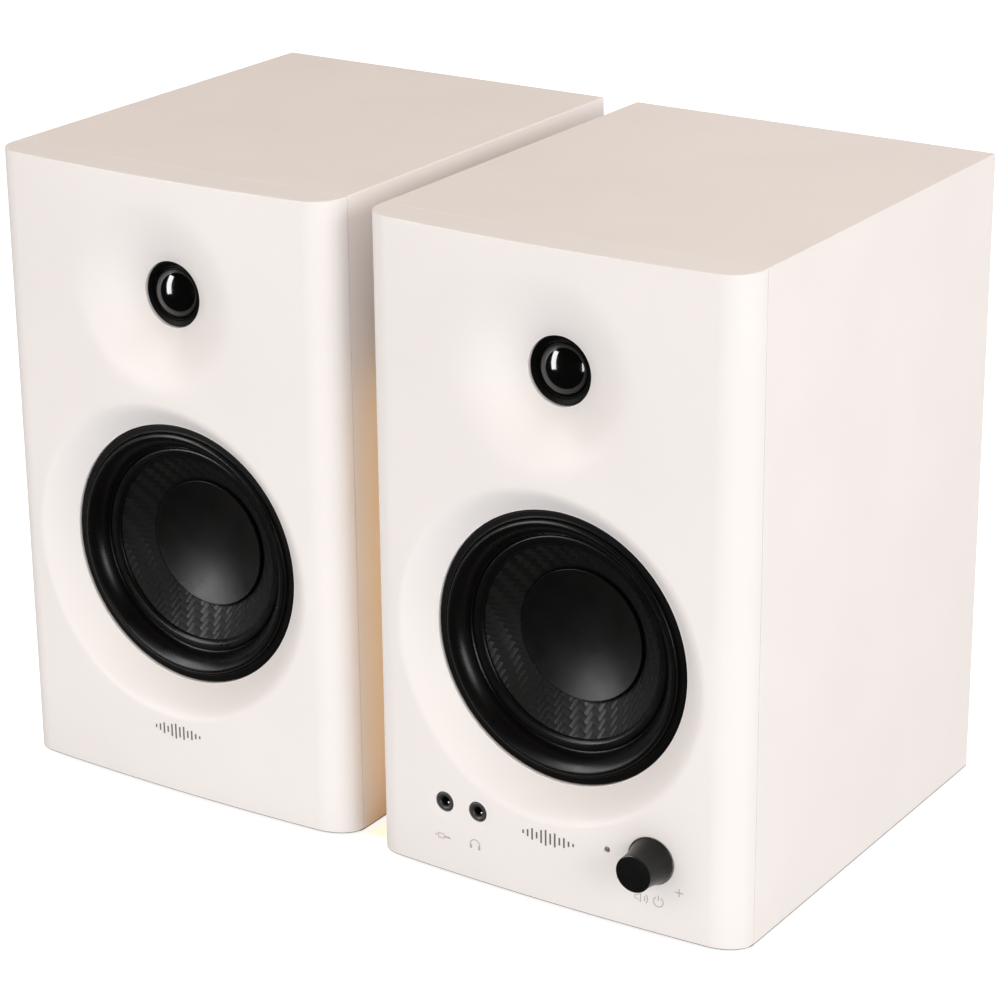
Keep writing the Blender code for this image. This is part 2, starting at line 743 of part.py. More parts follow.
def common_pieces(side, speaker, looks):
    """What both speakers have: cabinet, baffle, drivers, port and feet."""
    cabinet(side, speaker, looks["cabinet_white"])
    front_baffle(side, speaker, looks["baffle_white"])
    port_tube(side, speaker, looks["black_plastic"])
    feet(side, speaker, looks["rubber"])
    woofer_surround(side, speaker, looks["rubber"])
    woofer_cone(side, speaker, looks["cone"])
    woofer_dust_cap(side, speaker, looks["dust_cap"])
    woofer_voice_coil(side, speaker, looks["copper"])
    woofer_spider(side, speaker, looks["spider"])
    woofer_basket(side, speaker, looks["steel"])
    woofer_magnet(side, speaker, looks["magnet"])
    tweeter_housing(side, speaker, looks["black_plastic"])
    tweeter_dome(side, speaker, looks["dome"])


def add_speaker(side, x):
    speaker = bpy.data.objects.new(f"{side}_speaker", None)
    bpy.context.collection.objects.link(speaker)
    speaker.location = (x, ORIGIN_Y, FOOT_HEIGHT)
    return speaker


def active_speaker(looks):
    speaker = add_speaker("active", SPEAKER_PITCH / 2)
    common_pieces("active", speaker, looks)
    rear_panel("active", speaker, looks["cabinet_white"], (0.047, 0.023, 0.135))
    front_controls(speaker, looks)
    rear_plate(speaker, looks["black_plastic"])
    line_socket("line_in_right", speaker, looks["black_plastic"])
    line_socket("line_in_left", speaker, looks["black_plastic"])
    rca_sockets(speaker, looks["black_plastic"])
    trim_knob("treble_knob", speaker, looks["black_plastic"])
    trim_knob("bass_knob", speaker, looks["black_plastic"])
    power_switch(speaker, looks["black_plastic"])
    mains_inlet(speaker, looks["black_plastic"])
    terminal("output_terminal", REAR_DEVICES["output_terminal"][0], speaker, looks, False)
    amplifier_board(speaker, looks["board"])
    transformer(speaker, looks["steel"])


def passive_speaker(looks):
    speaker = add_speaker("passive", -SPEAKER_PITCH / 2)
    common_pieces("passive", speaker, looks)
    rear_panel("passive", speaker, looks["cabinet_white"], (0.0183, TERMINAL_Z - 0.0143, TERMINAL_Z + 0.0143))
    terminal("passive_terminal", 0.0, speaker, looks, True)
    crossover_board(speaker, looks["board"])


def main():
    clear_scene()
    looks = make_looks()
    active_speaker(looks)
    passive_speaker(looks)


main()
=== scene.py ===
"""Looks of a pair of white two-way desktop speakers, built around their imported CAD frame.

Metres, +Z up, fronts facing -Y. Shapes are written in millimetres around an origin of their own
and become metres in Speaker.add. A speaker's origin is on its centre plane: y is 0 at the plane
behind the baffle that the drivers are mounted on, and z is 0 at the cabinet's underside.
"""

import math

import bmesh
import bpy
import numpy as np
from mathutils import Euler, Matrix, Quaternion, Vector
from mathutils.geometry import delaunay_2d_cdt


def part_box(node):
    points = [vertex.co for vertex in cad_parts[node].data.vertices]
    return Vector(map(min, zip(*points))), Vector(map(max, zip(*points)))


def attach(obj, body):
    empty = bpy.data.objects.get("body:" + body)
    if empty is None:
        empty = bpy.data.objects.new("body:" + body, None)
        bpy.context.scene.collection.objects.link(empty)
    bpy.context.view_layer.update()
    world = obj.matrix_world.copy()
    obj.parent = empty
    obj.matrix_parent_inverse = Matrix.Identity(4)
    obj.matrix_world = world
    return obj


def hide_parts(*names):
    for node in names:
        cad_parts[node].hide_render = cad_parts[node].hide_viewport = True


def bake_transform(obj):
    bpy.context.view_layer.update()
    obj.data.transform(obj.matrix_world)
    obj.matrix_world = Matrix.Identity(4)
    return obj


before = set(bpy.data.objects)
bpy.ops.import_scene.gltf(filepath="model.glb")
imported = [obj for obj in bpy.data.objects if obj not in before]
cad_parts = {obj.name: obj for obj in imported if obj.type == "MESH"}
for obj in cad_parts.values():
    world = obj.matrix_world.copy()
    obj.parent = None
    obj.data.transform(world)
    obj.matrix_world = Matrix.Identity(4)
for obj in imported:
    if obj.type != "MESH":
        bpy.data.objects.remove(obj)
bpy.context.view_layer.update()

MM = 0.001
WELD = 0.002
SHARP = math.radians(32)

# Points around a circle
FINE = 160
MEDIUM = 112
SMOOTH = 96
ROUND = 48

# Baffle
BAFFLE_THICKNESS = 14.3
BOW_RADIUS = 739.0
CORNER_RADIUS = 11.0
SEAM_Y = 1.3
BACK_Y = 1.0
BACK_CHAMFER = 0.22
MOUNT_Y = -0.3
RIM_WIDTH = 10.0
UNDERCUT = 3.0
EDGE = 0.4
LEVELS = 38
WOOFER_HOLE = 47.2
WOOFER_DISH = 58.3
DISH_FLOOR = -4.0
DISH_SOFTNESS = 0.30
TWEETER_HOLE = 11.6
TWEETER_DISH = 34.5
JACK_HOLE = 3.58
LIGHT_HOLE = 1.05
PILL_RADIUS = 5.9
PILL_SLOPE = 1.1
PILL_DEPTH = 0.16
KNOB_POCKET = 8.3
SHAFT_HOLE = 4.8
POCKET_FLOOR = -11.8

# Rear
PANEL_Y = 155.6
PLATE_Y = 157.6
BEZEL_OUT = 159.3
BEZEL_IN = 157.9
WELL_OUT = 157.85
TERMINAL_Z = 56.0
CLIP_OFFSET = 8.5
RCA_OFFSET = 7.5
ROCKER_TURN = Euler((math.radians(-7.5), 0, 0))
LEVER_TURN = Euler((math.radians(28), 0, 0))


# Outlines. A loop that is a function of its inset can be bevelled.

def rounded(points, closed=False):
    """An outline with rounded corners. A point's third number is how far its rounding reaches."""
    steps = 4
    result = []
    last = len(points) - 1
    for index, point in enumerate(points):
        here = Vector(point[:2])
        if len(point) < 3 or (not closed and index in (0, last)):
            result.append(tuple(here))
            continue
        before = Vector(points[index - 1][:2]) - here
        after = Vector(points[(index + 1) % (last + 1)][:2]) - here
        for side in (before, after):
            side.length = min(point[2], side.length * 0.45)
        for step in range(steps + 1):
            t = step / steps
            result.append(tuple(here + before * (1 - t) ** 2 + after * t ** 2))
    return result


def circle(radius, count, x=0.0, z=0.0):
    """A round loop, as a function of how far it is inset."""
    def loop(inset=0.0):
        return [(a, b) for a, _, b in ring(radius - inset, 0.0, count, x, z)]
    return loop


def ring(radius, y, count, x=0.0, z=0.0, ribs=0, rib=0.0):
    """A row of points about the Y axis. A rib stands out by a share of the radius."""
    row = []
    for i in range(count):
        angle = 2 * math.pi * i / count
        reach = radius * (1 + rib * math.cos(ribs * angle)) if ribs else radius
        row.append((x + reach * math.cos(angle), y, z + reach * math.sin(angle)))
    return row


def box_loop(low, high, radius):
    """A rectangle with round corners, as a function of how far it is inset."""
    steps = 4

    def loop(inset=0.0):
        size = max(radius - inset, 0.01)
        points = []
        corners = ((high[0], low[1]), (high[0], high[1]), (low[0], high[1]), (low[0], low[1]))
        signs = ((1, -1), (1, 1), (-1, 1), (-1, -1))
        for index, (corner, sign) in enumerate(zip(corners, signs)):
            x = corner[0] - sign[0] * (inset + size)
            z = corner[1] - sign[1] * (inset + size)
            for step in range(steps + 1):
                angle = math.pi / 2 * (index - 1 + step / steps)
                points.append((x + size * math.cos(angle), z + size * math.sin(angle)))
        return points
    return loop


def box_about(half_x, half_z, radius, x=0.0, z=0.0):
    """The same, from half its sides and its middle."""
    return box_loop((x - half_x, z - half_z), (x + half_x, z + half_z), radius)


def around_middle(points):
    """Any loop, grown or shrunk about its middle, as a function of how far it is inset."""
    middle = sum((Vector(p) for p in points), Vector((0, 0))) / len(points)
    reach = max((Vector(p) - middle).length for p in points)

    def loop(inset=0.0):
        return [tuple(middle + (Vector(p) - middle) * (1 - inset / reach)) for p in points]
    return loop


def arc_points(x, z, radius, start, end, steps=16):
    """Points along an arc, with its angles in degrees."""
    angles = [math.radians(start + (end - start) * i / steps) for i in range(steps + 1)]
    return [(x + radius * math.cos(a), z + radius * math.sin(a)) for a in angles]


def two_arcs(left, right, z, reach, count):
    """Points around two places side by side, at one distance from the line between them."""
    return arc_points(right, z, reach, -90, 90, count) + arc_points(left, z, reach, 90, 270, count)


def inside(points, loop):
    """Which of the points lie inside a closed loop."""
    x, z = points[:, 0:1], points[:, 1:2]
    start = np.array(loop)
    end = np.roll(start, -1, axis=0)
    crosses = (start[:, 1] > z) != (end[:, 1] > z)
    rise = np.where(end[:, 1] == start[:, 1], 1e-12, end[:, 1] - start[:, 1])
    where = start[:, 0] + (z - start[:, 1]) * (end[:, 0] - start[:, 0]) / rise
    return (crosses & (x < where)).sum(axis=1) % 2 == 1


def flat_at(y):
    """The surface at one y, as a function of x and z."""
    return lambda x, z: y


# Shapes

class Shape:
    """Faces gathered from several surfaces, which weld where they meet."""

    def __init__(self):
        self.bm = bmesh.new()

    def face(self, points):
        self.bm.faces.new([self.bm.verts.new(point) for point in points])

    def rows(self, rows, wrap=False, around=True):
        """Quads between neighbouring rows of points."""
        grid = [[self.bm.verts.new(point) for point in row] for row in rows]
        pairs = list(zip(grid, grid[1:]))
        if wrap:
            pairs.append((grid[-1], grid[0]))
        count = len(grid[0])
        for one, two in pairs:
            for i in range(count if around else count - 1):
                j = (i + 1) % count
                self.bm.faces.new((one[i], one[j], two[j], two[i]))
        return self

    def tile(self, outline, holes, place, inner=()):
        """Fills an outline around its holes. place turns a flat point into a 3-D one."""
        points, edges = [], []
        for loop in [outline, *holes]:
            start, count = len(points), len(loop)
            points += loop
            edges += [(start + i, start + (i + 1) % count) for i in range(count)]
        points += inner
        flat, _, faces, *_ = delaunay_2d_cdt([Vector(p) for p in points], edges, [], 0, 1e-5)
        centres = np.array([[sum(flat[i][k] for i in face) / 3 for k in (0, 1)] for face in faces])
        kept = inside(centres, outline)
        for hole in holes:
            kept &= ~inside(centres, hole)
        verts = [self.bm.verts.new(place(*point)) for point in flat]
        for face, wanted in zip(faces, kept):
            if wanted:
                self.bm.faces.new([verts[i] for i in face])

    def turned(self, profile, count, x=0.0, z=0.0, closed=False, upright=False, **ribs):
        """A profile of (radius, y) points turned about the Y axis, or about Z when upright."""
        rows = [ring(radius, y, count, x, z, **ribs) for radius, y in profile]
        if upright:
            rows = [[(a, b, y) for a, y, b in row] for row in rows]
        return self.rows(rows, wrap=closed)

    def plate(self, outline, out_y, in_y, bevel, holes=(), blind=()):
        """A plate with bevelled edges, holes through it and blind recesses (loop, floor y)."""
        inward = math.copysign(bevel, in_y - out_y)

        def at(y):
            return lambda x, z: (x, y, z)

        def wall(loop, sign, end_y):
            steps = (
                (sign * bevel, out_y), (sign * bevel * 0.3, out_y + inward * 0.3),
                (0, out_y + inward),
            )
            rows = [[(x, y, z) for x, z in loop(inset)] for inset, y in steps]
            rows.append([(x, end_y, z) for x, z in loop(0)])
            self.rows(rows)
        pierced = [loop(-bevel) for loop in holes] + [loop(-bevel) for loop, _ in blind]
        self.tile(outline(bevel), pierced, at(out_y))
        self.tile(outline(0), [loop(0) for loop in holes], at(in_y))
        wall(outline, 1, in_y)
        for loop in holes:
            wall(loop, -1, in_y)
        for loop, floor_y in blind:
            wall(loop, -1, floor_y)
            self.tile(loop(0), [], at(floor_y))
        return self

    def brick(self, low, high, radius, steps=2):
        """A box with rounded edges."""
        verts = bmesh.ops.create_cube(self.bm, size=1)["verts"]
        size = [b - a for a, b in zip(low, high)]
        middle = [(a + b) / 2 for a, b in zip(low, high)]
        bmesh.ops.scale(self.bm, vec=size, verts=verts)
        bmesh.ops.translate(self.bm, vec=middle, verts=verts)
        edges = list({edge for vert in verts for edge in vert.link_edges})
        bmesh.ops.bevel(
            self.bm, geom=edges, offset=radius, segments=steps, profile=0.5, affect="EDGES"
        )
        return self

    def stroke(self, points, width, surface, outward, closed=False):
        """A raised line along (x, z) points, lying on a surface whose y is surface(x, z)."""
        rise = 0.05
        path = [Vector(point) for point in points]
        count = len(path)
        rows = []
        for i, here in enumerate(path):
            before = path[i - 1] if closed or i > 0 else here
            after = path[(i + 1) % count] if closed or i < count - 1 else here
            along = (after - before).normalized()
            across = Vector((-along.y, along.x)) * width / 2
            left, right = here + across, here - across
            row = []
            for point, lift in ((left, rise), (right, rise), (right, -rise), (left, -rise)):
                row.append((point.x, surface(*point) + outward * lift, point.y))
            rows.append(row)
        self.rows(rows, wrap=closed)
        if not closed:
            self.face(rows[0])
            self.face(rows[-1])


# Looks

class Nodes:
    """Helpers that build a node tree."""

    def __init__(self, tree):
        self.tree = tree

    def put(self, value, socket):
        """Links an output to a socket, or sets the socket to a value."""
        if isinstance(value, bpy.types.NodeSocket):
            self.tree.links.new(value, socket)
        else:
            socket.default_value = value

    def node(self, kind, **inputs):
        """A new shader node. Inputs go by their names, with _ for a space."""
        node = self.tree.nodes.new("ShaderNode" + kind)
        for key, value in inputs.items():
            self.put(value, node.inputs[key.replace("_", " ")])
        return node

    def math(self, operation, one, two=0.0):
        node = self.node("Math")
        node.operation = operation
        self.put(one, node.inputs[0])
        self.put(two, node.inputs[1])
        return node.outputs[0]

    def plus(self, one, two):
        return self.math("ADD", one, two)

    def minus(self, one, two):
        return self.math("SUBTRACT", one, two)

    def times(self, one, two):
        return self.math("MULTIPLY", one, two)

    def span(self, value, low, high, start=0.3, end=0.7):
        """Spreads a value from start..end over low..high."""
        ends = {"From_Min": start, "From_Max": end, "To_Min": low, "To_Max": high}
        return self.node("MapRange", Value=value, **ends).outputs["Result"]

    def mix(self, factor, one, two):
        node = self.node("Mix")
        node.data_type = "RGBA"
        self.put(factor, node.inputs["Factor"])
        for value, key in ((one, "A"), (two, "B")):
            socket = next(s for s in node.inputs if s.name == key and s.type == "RGBA")
            self.put(value if isinstance(value, bpy.types.NodeSocket) else (*value, 1.0), socket)
        return next(s for s in node.outputs if s.type == "RGBA")


class Look(Nodes):
    """A material under construction. Sizes are in millimetres."""

    def __init__(self, name, slot, metallic=0.0, **sockets):
        self.material = bpy.data.materials.new(name)
        self.material.use_nodes = True
        self.material["slot"] = slot
        super().__init__(self.material.node_tree)
        self.shader = self.tree.nodes["Principled BSDF"]
        self.shader.inputs["Metallic"].default_value = metallic
        for key, value in sockets.items():
            self.shader.inputs[SOCKETS[key]].default_value = value
        self.place = self.node("TexCoord").outputs["Object"]

    def mapped(self, scale=(1, 1, 1), turn=(0, 0, 0)):
        node = self.node("Mapping", Rotation=turn, Scale=scale, Vector=self.place)
        return node.outputs["Vector"]

    def noise(self, size, detail=2.0, place=None):
        place = place or self.place
        node = self.node("TexNoise", Scale=1 / (size * MM), Detail=detail, Vector=place)
        return node.outputs["Fac"]

    def color(self, value):
        self.put(value, self.shader.inputs["Base Color"])

    def rough(self, value):
        self.put(value, self.shader.inputs["Roughness"])

    def bump(self, height, depth):
        """Adds relief, with the depth in millimetres that a height of 1 stands for."""
        node = self.node("Bump", Strength=1.0, Distance=depth * MM, Height=height)
        normal = self.shader.inputs["Normal"]
        if normal.is_linked:
            self.put(normal.links[0].from_socket, node.inputs["Normal"])
        self.put(node.outputs["Normal"], normal)


SOCKETS = {"specular": "Specular IOR Level", "coat": "Coat Weight"}


def shade(color, factor):
    return tuple(min(value * factor, 1.0) for value in color)


def plain_look(name, slot, color, roughness, grain=0.35, depth=0.006, drift=0.05, **settings):
    """A moulded, painted or metal surface: slow colour drift, uneven gloss and fine grain."""
    look = Look(name, slot, **settings)
    if isinstance(color, float):
        color = (color,) * 3
    slow = look.noise(38, 3)
    look.color(look.mix(look.span(slow, 0, 1), shade(color, 1 - drift), shade(color, 1 + drift)))
    uneven = look.plus(look.noise(9, 3), look.times(look.noise(1.3), 0.5))
    look.rough(look.span(uneven, roughness - 0.05, roughness + 0.05, 0.5, 1.0))
    look.bump(look.noise(grain, 2), depth)
    return look


def white_look(name, color, roughness, shadow_line, slope=0.0):
    """Satin white paint with faint orange peel. Just above the underside and its slope it gives way
    to a dark grey line: a painted shadow along the bottom edge.
    """
    look = plain_look(
        name, name, color, roughness, grain=0.25, depth=0.0022, drift=0.012, specular=0.08
    )
    look.bump(look.noise(2.6, 1), 0.0035)
    split = look.node("SeparateXYZ", Vector=look.place)
    above = look.plus(split.outputs["Z"], look.times(split.outputs["Y"], slope))
    start = (slope * BACK_Y + shadow_line) * MM
    above_shadow_line = look.span(above, 0, 1, start, start + 0.15 * MM)
    paint = look.shader.inputs["Base Color"].links[0].from_socket
    # Painted shade: below this height the white turns dark grey, standing in for the contact shadow
    # along the bottom edge.
    look.color(look.mix(above_shadow_line, shade(color, 0.3), paint))
    return look


def rubber_look(name, slot, color, roughness, **settings):
    """Moulded rubber: soft gloss, uneven colour and a fine matt grain."""
    look = plain_look(name, slot, color, roughness, grain=0.22, depth=0.008, drift=0.18, **settings)
    look.bump(look.noise(4.5, 2), 0.02)
    return look


def brushed_look(name, slot, color, roughness):
    """Turned metal with fine marks around its axis."""
    look = plain_look(name, slot, color, roughness, grain=0.3, depth=0.002, metallic=1.0)
    look.bump(look.noise(0.5, 3, look.mapped((1, 14, 1))), 0.004)
    return look


def weave_look():
    """The cone's 2/2 twill of flat fibre tows, set on the slant, under a satin resin, with painted
    sheen on the tows that lie one way.
    """
    tow = 1.75
    turn = (0, math.radians(-20), 0)
    look = Look("cone_twill", "cone", specular=0.16)
    split = look.node("SeparateXYZ", Vector=look.mapped((1 / (tow * MM),) * 3, turn))
    u, v = split.outputs["X"], split.outputs["Z"]
    step_u, step_v = look.math("FLOOR", u), look.math("FLOOR", v)
    in_u, in_v = look.math("FRACT", u), look.math("FRACT", v)
    phase = look.math("FLOORED_MODULO", look.plus(step_u, step_v), 4.0)
    upright = look.math("LESS_THAN", phase, 1.5)
    level = look.minus(1.0, upright)

    def crown(value):
        """Rises from 0 at a tow's edges to 1 in its middle."""
        off = look.minus(look.times(value, 2.0), 1.0)
        return look.minus(1.0, look.math("POWER", look.math("ABSOLUTE", off), 2.4))

    def float_crown(start, along):
        """The same along the two cells that a tow lies on top of."""
        return crown(look.times(look.plus(look.minus(phase, start), along), 0.5))

    def either(one, two):
        return look.plus(look.times(upright, one), look.times(level, two))
    across = either(crown(in_u), crown(in_v))
    along = either(float_crown(0.0, in_v), float_crown(2.0, in_u))
    height = look.plus(look.times(across, 0.55), look.times(along, 0.45))
    fine, long = 10400.0, 480.0
    threads = either(
        look.noise(1000, 2, look.mapped((fine, 1, long), turn)),
        look.noise(1000, 2, look.mapped((long, 1, fine), turn)),
    )
    look.bump(height, 0.11)
    look.bump(threads, 0.010)
    # Painted sheen: the tows on top one way get a lighter base colour in place of their directional
    # sheen, and the thread noise adds random tone.
    sheen_and_tone = look.plus(look.times(upright, 0.8), look.times(threads, 0.3))
    look.color(look.mix(sheen_and_tone, (0.0020, 0.0020, 0.0020), (0.0105, 0.0098, 0.0093)))
    look.rough(look.minus(look.span(threads, 0.58, 0.66), look.times(upright, 0.22)))
    return look


def bands(look, axis, scale, depth):
    """Adds ridges across one axis."""
    node = look.node("TexWave", Scale=scale, Vector=look.place)
    node.bands_direction = axis
    look.bump(node.outputs["Fac"], depth)


def cloth_look():
    """The spider's treated cotton: a fine open weave in amber."""
    look = plain_look("spider_cloth", "spider", (0.42, 0.26, 0.10), 0.8, drift=0.15)
    for axis in "XZ":
        bands(look, axis, 600, 0.05)
    return look


def board_look():
    """A circuit board: solder mask with faint tracks."""
    look = plain_look("board_mask", "board", (0.025, 0.14, 0.05), 0.45)
    tracks = look.node(
        "TexBrick", Scale=320, Color1=(0.03, 0.17, 0.06, 1), Color2=(0.025, 0.13, 0.05, 1),
        Mortar=(0.10, 0.28, 0.12, 1), Vector=look.place,
    )
    look.color(tracks.outputs["Color"])
    look.bump(tracks.outputs["Fac"], 0.03)
    return look


def winding_look():
    """Enamelled copper wire, wound about the Y axis."""
    look = plain_look("copper_winding", "copper", (0.55, 0.25, 0.12), 0.35, metallic=1.0)
    bands(look, "Y", 900, 0.08)
    return look


def make_looks():
    """Every look by a short key."""
    plain = plain_look
    slope = UNDERCUT / (BACK_Y + BAFFLE_THICKNESS)
    black = "black_plastic"
    looks = {
        "cabinet": white_look("cabinet_white", (0.86, 0.832, 0.819), 0.42, 0.6),
        "baffle": white_look("baffle_white", (0.875, 0.855, 0.847), 0.36, 0.35, slope),
        "rim": rubber_look("rim_rubber", "rubber", (0.0022, 0.0021, 0.0020), 0.42, specular=0.07),
        "rubber": rubber_look(
            "roll_rubber", "rubber", (0.0030, 0.0027, 0.0026), 0.30, specular=0.12
        ),
        "foot": rubber_look("foot_rubber", "foot_rubber", 0.03, 0.75),
        "suspension": rubber_look(
            "suspension_cloth", "dome", (0.0060, 0.0055, 0.0050), 0.45, specular=0.12
        ),
        "cone": weave_look(),
        "cap": plain("cap_matt", "dust_cap", (0.0035, 0.0032, 0.0030), 0.36, 0.3, 0.012, 0.15,
                     specular=0.17),
        "ring": plain("tweeter_black", black, 0.0020, 0.48, specular=0.04),
        "dome": plain("dome_gloss", "dome", 0.0016, 0.09, 0.8, 0.0006, 0.2, specular=0.5),
        "jack": plain("bezel_grain", black, (0.022, 0.021, 0.020), 0.5, 0.16, 0.03, 0.3),
        "bore": plain("bore_black", black, 0.0025, 0.5, specular=0.2),
        "lamp": plain("light_pipe", "light_pipe", (0.20, 0.17, 0.155), 0.25, coat=0.2),
        "knob": plain("knob_matt", "knob_black", (0.0035, 0.0034, 0.0033), 0.30, 0.2, 0.008, 0.15,
                      specular=0.30),
        "print": plain("label_print", "baffle_white", (0.49, 0.415, 0.38), 0.5),
        "mark": plain("mark_print", "baffle_white", (0.155, 0.125, 0.115), 0.45),
        "rear_print": plain("rear_print", "rear_metal", (0.62, 0.62, 0.60), 0.5),
        "plate": plain("rear_powder", "rear_metal", (0.018, 0.018, 0.019), 0.55, 0.3, 0.03),
        "plastic": plain("moulded_black", black, 0.016, 0.48, depth=0.010),
        "gloss": plain("rocker_black", "clip_black", 0.014, 0.28, depth=0.004),
        "red": plain("moulded_red", "red_plastic", (0.42, 0.018, 0.015), 0.35),
        "white_part": plain("moulded_white", "baffle_white", (0.75, 0.74, 0.71), 0.4),
        "port": plain("port_black", black, 0.013, 0.45, depth=0.012),
        "steel": brushed_look("machined_steel", "steel", (0.55, 0.55, 0.56), 0.32),
        "brass": brushed_look("turned_brass", "copper", (0.62, 0.44, 0.20), 0.28),
        "screw": plain("black_zinc", "rear_metal", (0.05, 0.05, 0.052), 0.35, metallic=0.9),
        "basket": plain("stove_enamel", "basket", 0.03, 0.45, depth=0.02),
        "magnet": plain("ferrite", "magnet", (0.06, 0.06, 0.062), 0.6, 0.5, 0.03),
        "copper": winding_look(),
        "spider": cloth_look(),
        "board": board_look(),
        "core": plain("varnished_core", "transformer", (0.10, 0.085, 0.06), 0.4, 0.5, 0.05),
    }
    return {key: look.material for key, look in looks.items()}


LOOKS = make_looks()


# Pieces

BLENDED = "blended"


def add_object(name, data):
    """A new object in the scene."""
    made = bpy.data.objects.new(name, data)
    bpy.context.scene.collection.objects.link(made)
    return made


class Speaker:
    """One speaker: where its parts are, read from the frame, and how its pieces are added."""

    def __init__(self, side):
        low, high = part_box(f"{side}_cabinet")
        self.side = side
        self.body = f"{side}_cabinet"
        self.origin = Vector(((low.x + high.x) / 2, low.y - SEAM_Y * MM, low.z))
        self.half = (high.x - low.x) / 2 / MM
        self.back = (high.y - self.origin.y) / MM
        self.height = (high.z - low.z) / MM
        self.woofer_z = self.centre(f"{side}_woofer_cone").z
        self.tweeter_z = self.centre(f"{side}_tweeter_dome").z

    def at(self, x, y, z):
        """A local point, in the shared frame."""
        return self.origin + Vector((x, y, z)) * MM

    def box(self, node):
        """A node's low and high corners, in local millimetres."""
        return [(corner - self.origin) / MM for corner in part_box(node)]

    def centre(self, node):
        """A node's middle, in local millimetres."""
        low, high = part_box(node)
        return ((low + high) / 2 - self.origin) / MM

    def on_axis(self, node):
        """The point on the mounting plane in line with a node, in the shared frame."""
        middle = self.centre(node)
        return self.at(middle.x, 0, middle.z)

    def add(self, name, shape, look, *nodes, place=None, body=None, turn=None, even=True):
        """Makes the shape a shown piece, which stands for CAD nodes and rides on a body.

        A piece whose body is BLENDED is not attached to a body.
        """
        bm = shape.bm
        bmesh.ops.remove_doubles(bm, verts=bm.verts, dist=WELD)
        bmesh.ops.recalc_face_normals(bm, faces=bm.faces)
        bmesh.ops.scale(bm, vec=(MM, MM, MM), verts=bm.verts)
        mesh = bpy.data.meshes.new(name)
        bm.to_mesh(mesh)
        bm.free()
        mesh.shade_smooth()
        mesh.set_sharp_from_angle(angle=SHARP)
        mesh.materials.append(LOOKS[look])
        piece = add_object(name, mesh)
        piece.location = self.origin if place is None else place
        if turn:
            piece.rotation_euler = turn
        if even:
            normals = piece.modifiers.new("even_normals", "WEIGHTED_NORMAL")
            normals.keep_sharp = True
        if body != BLENDED:
            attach(piece, body or self.body)
        if nodes:
            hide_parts(*nodes)
        return piece


# Baffle

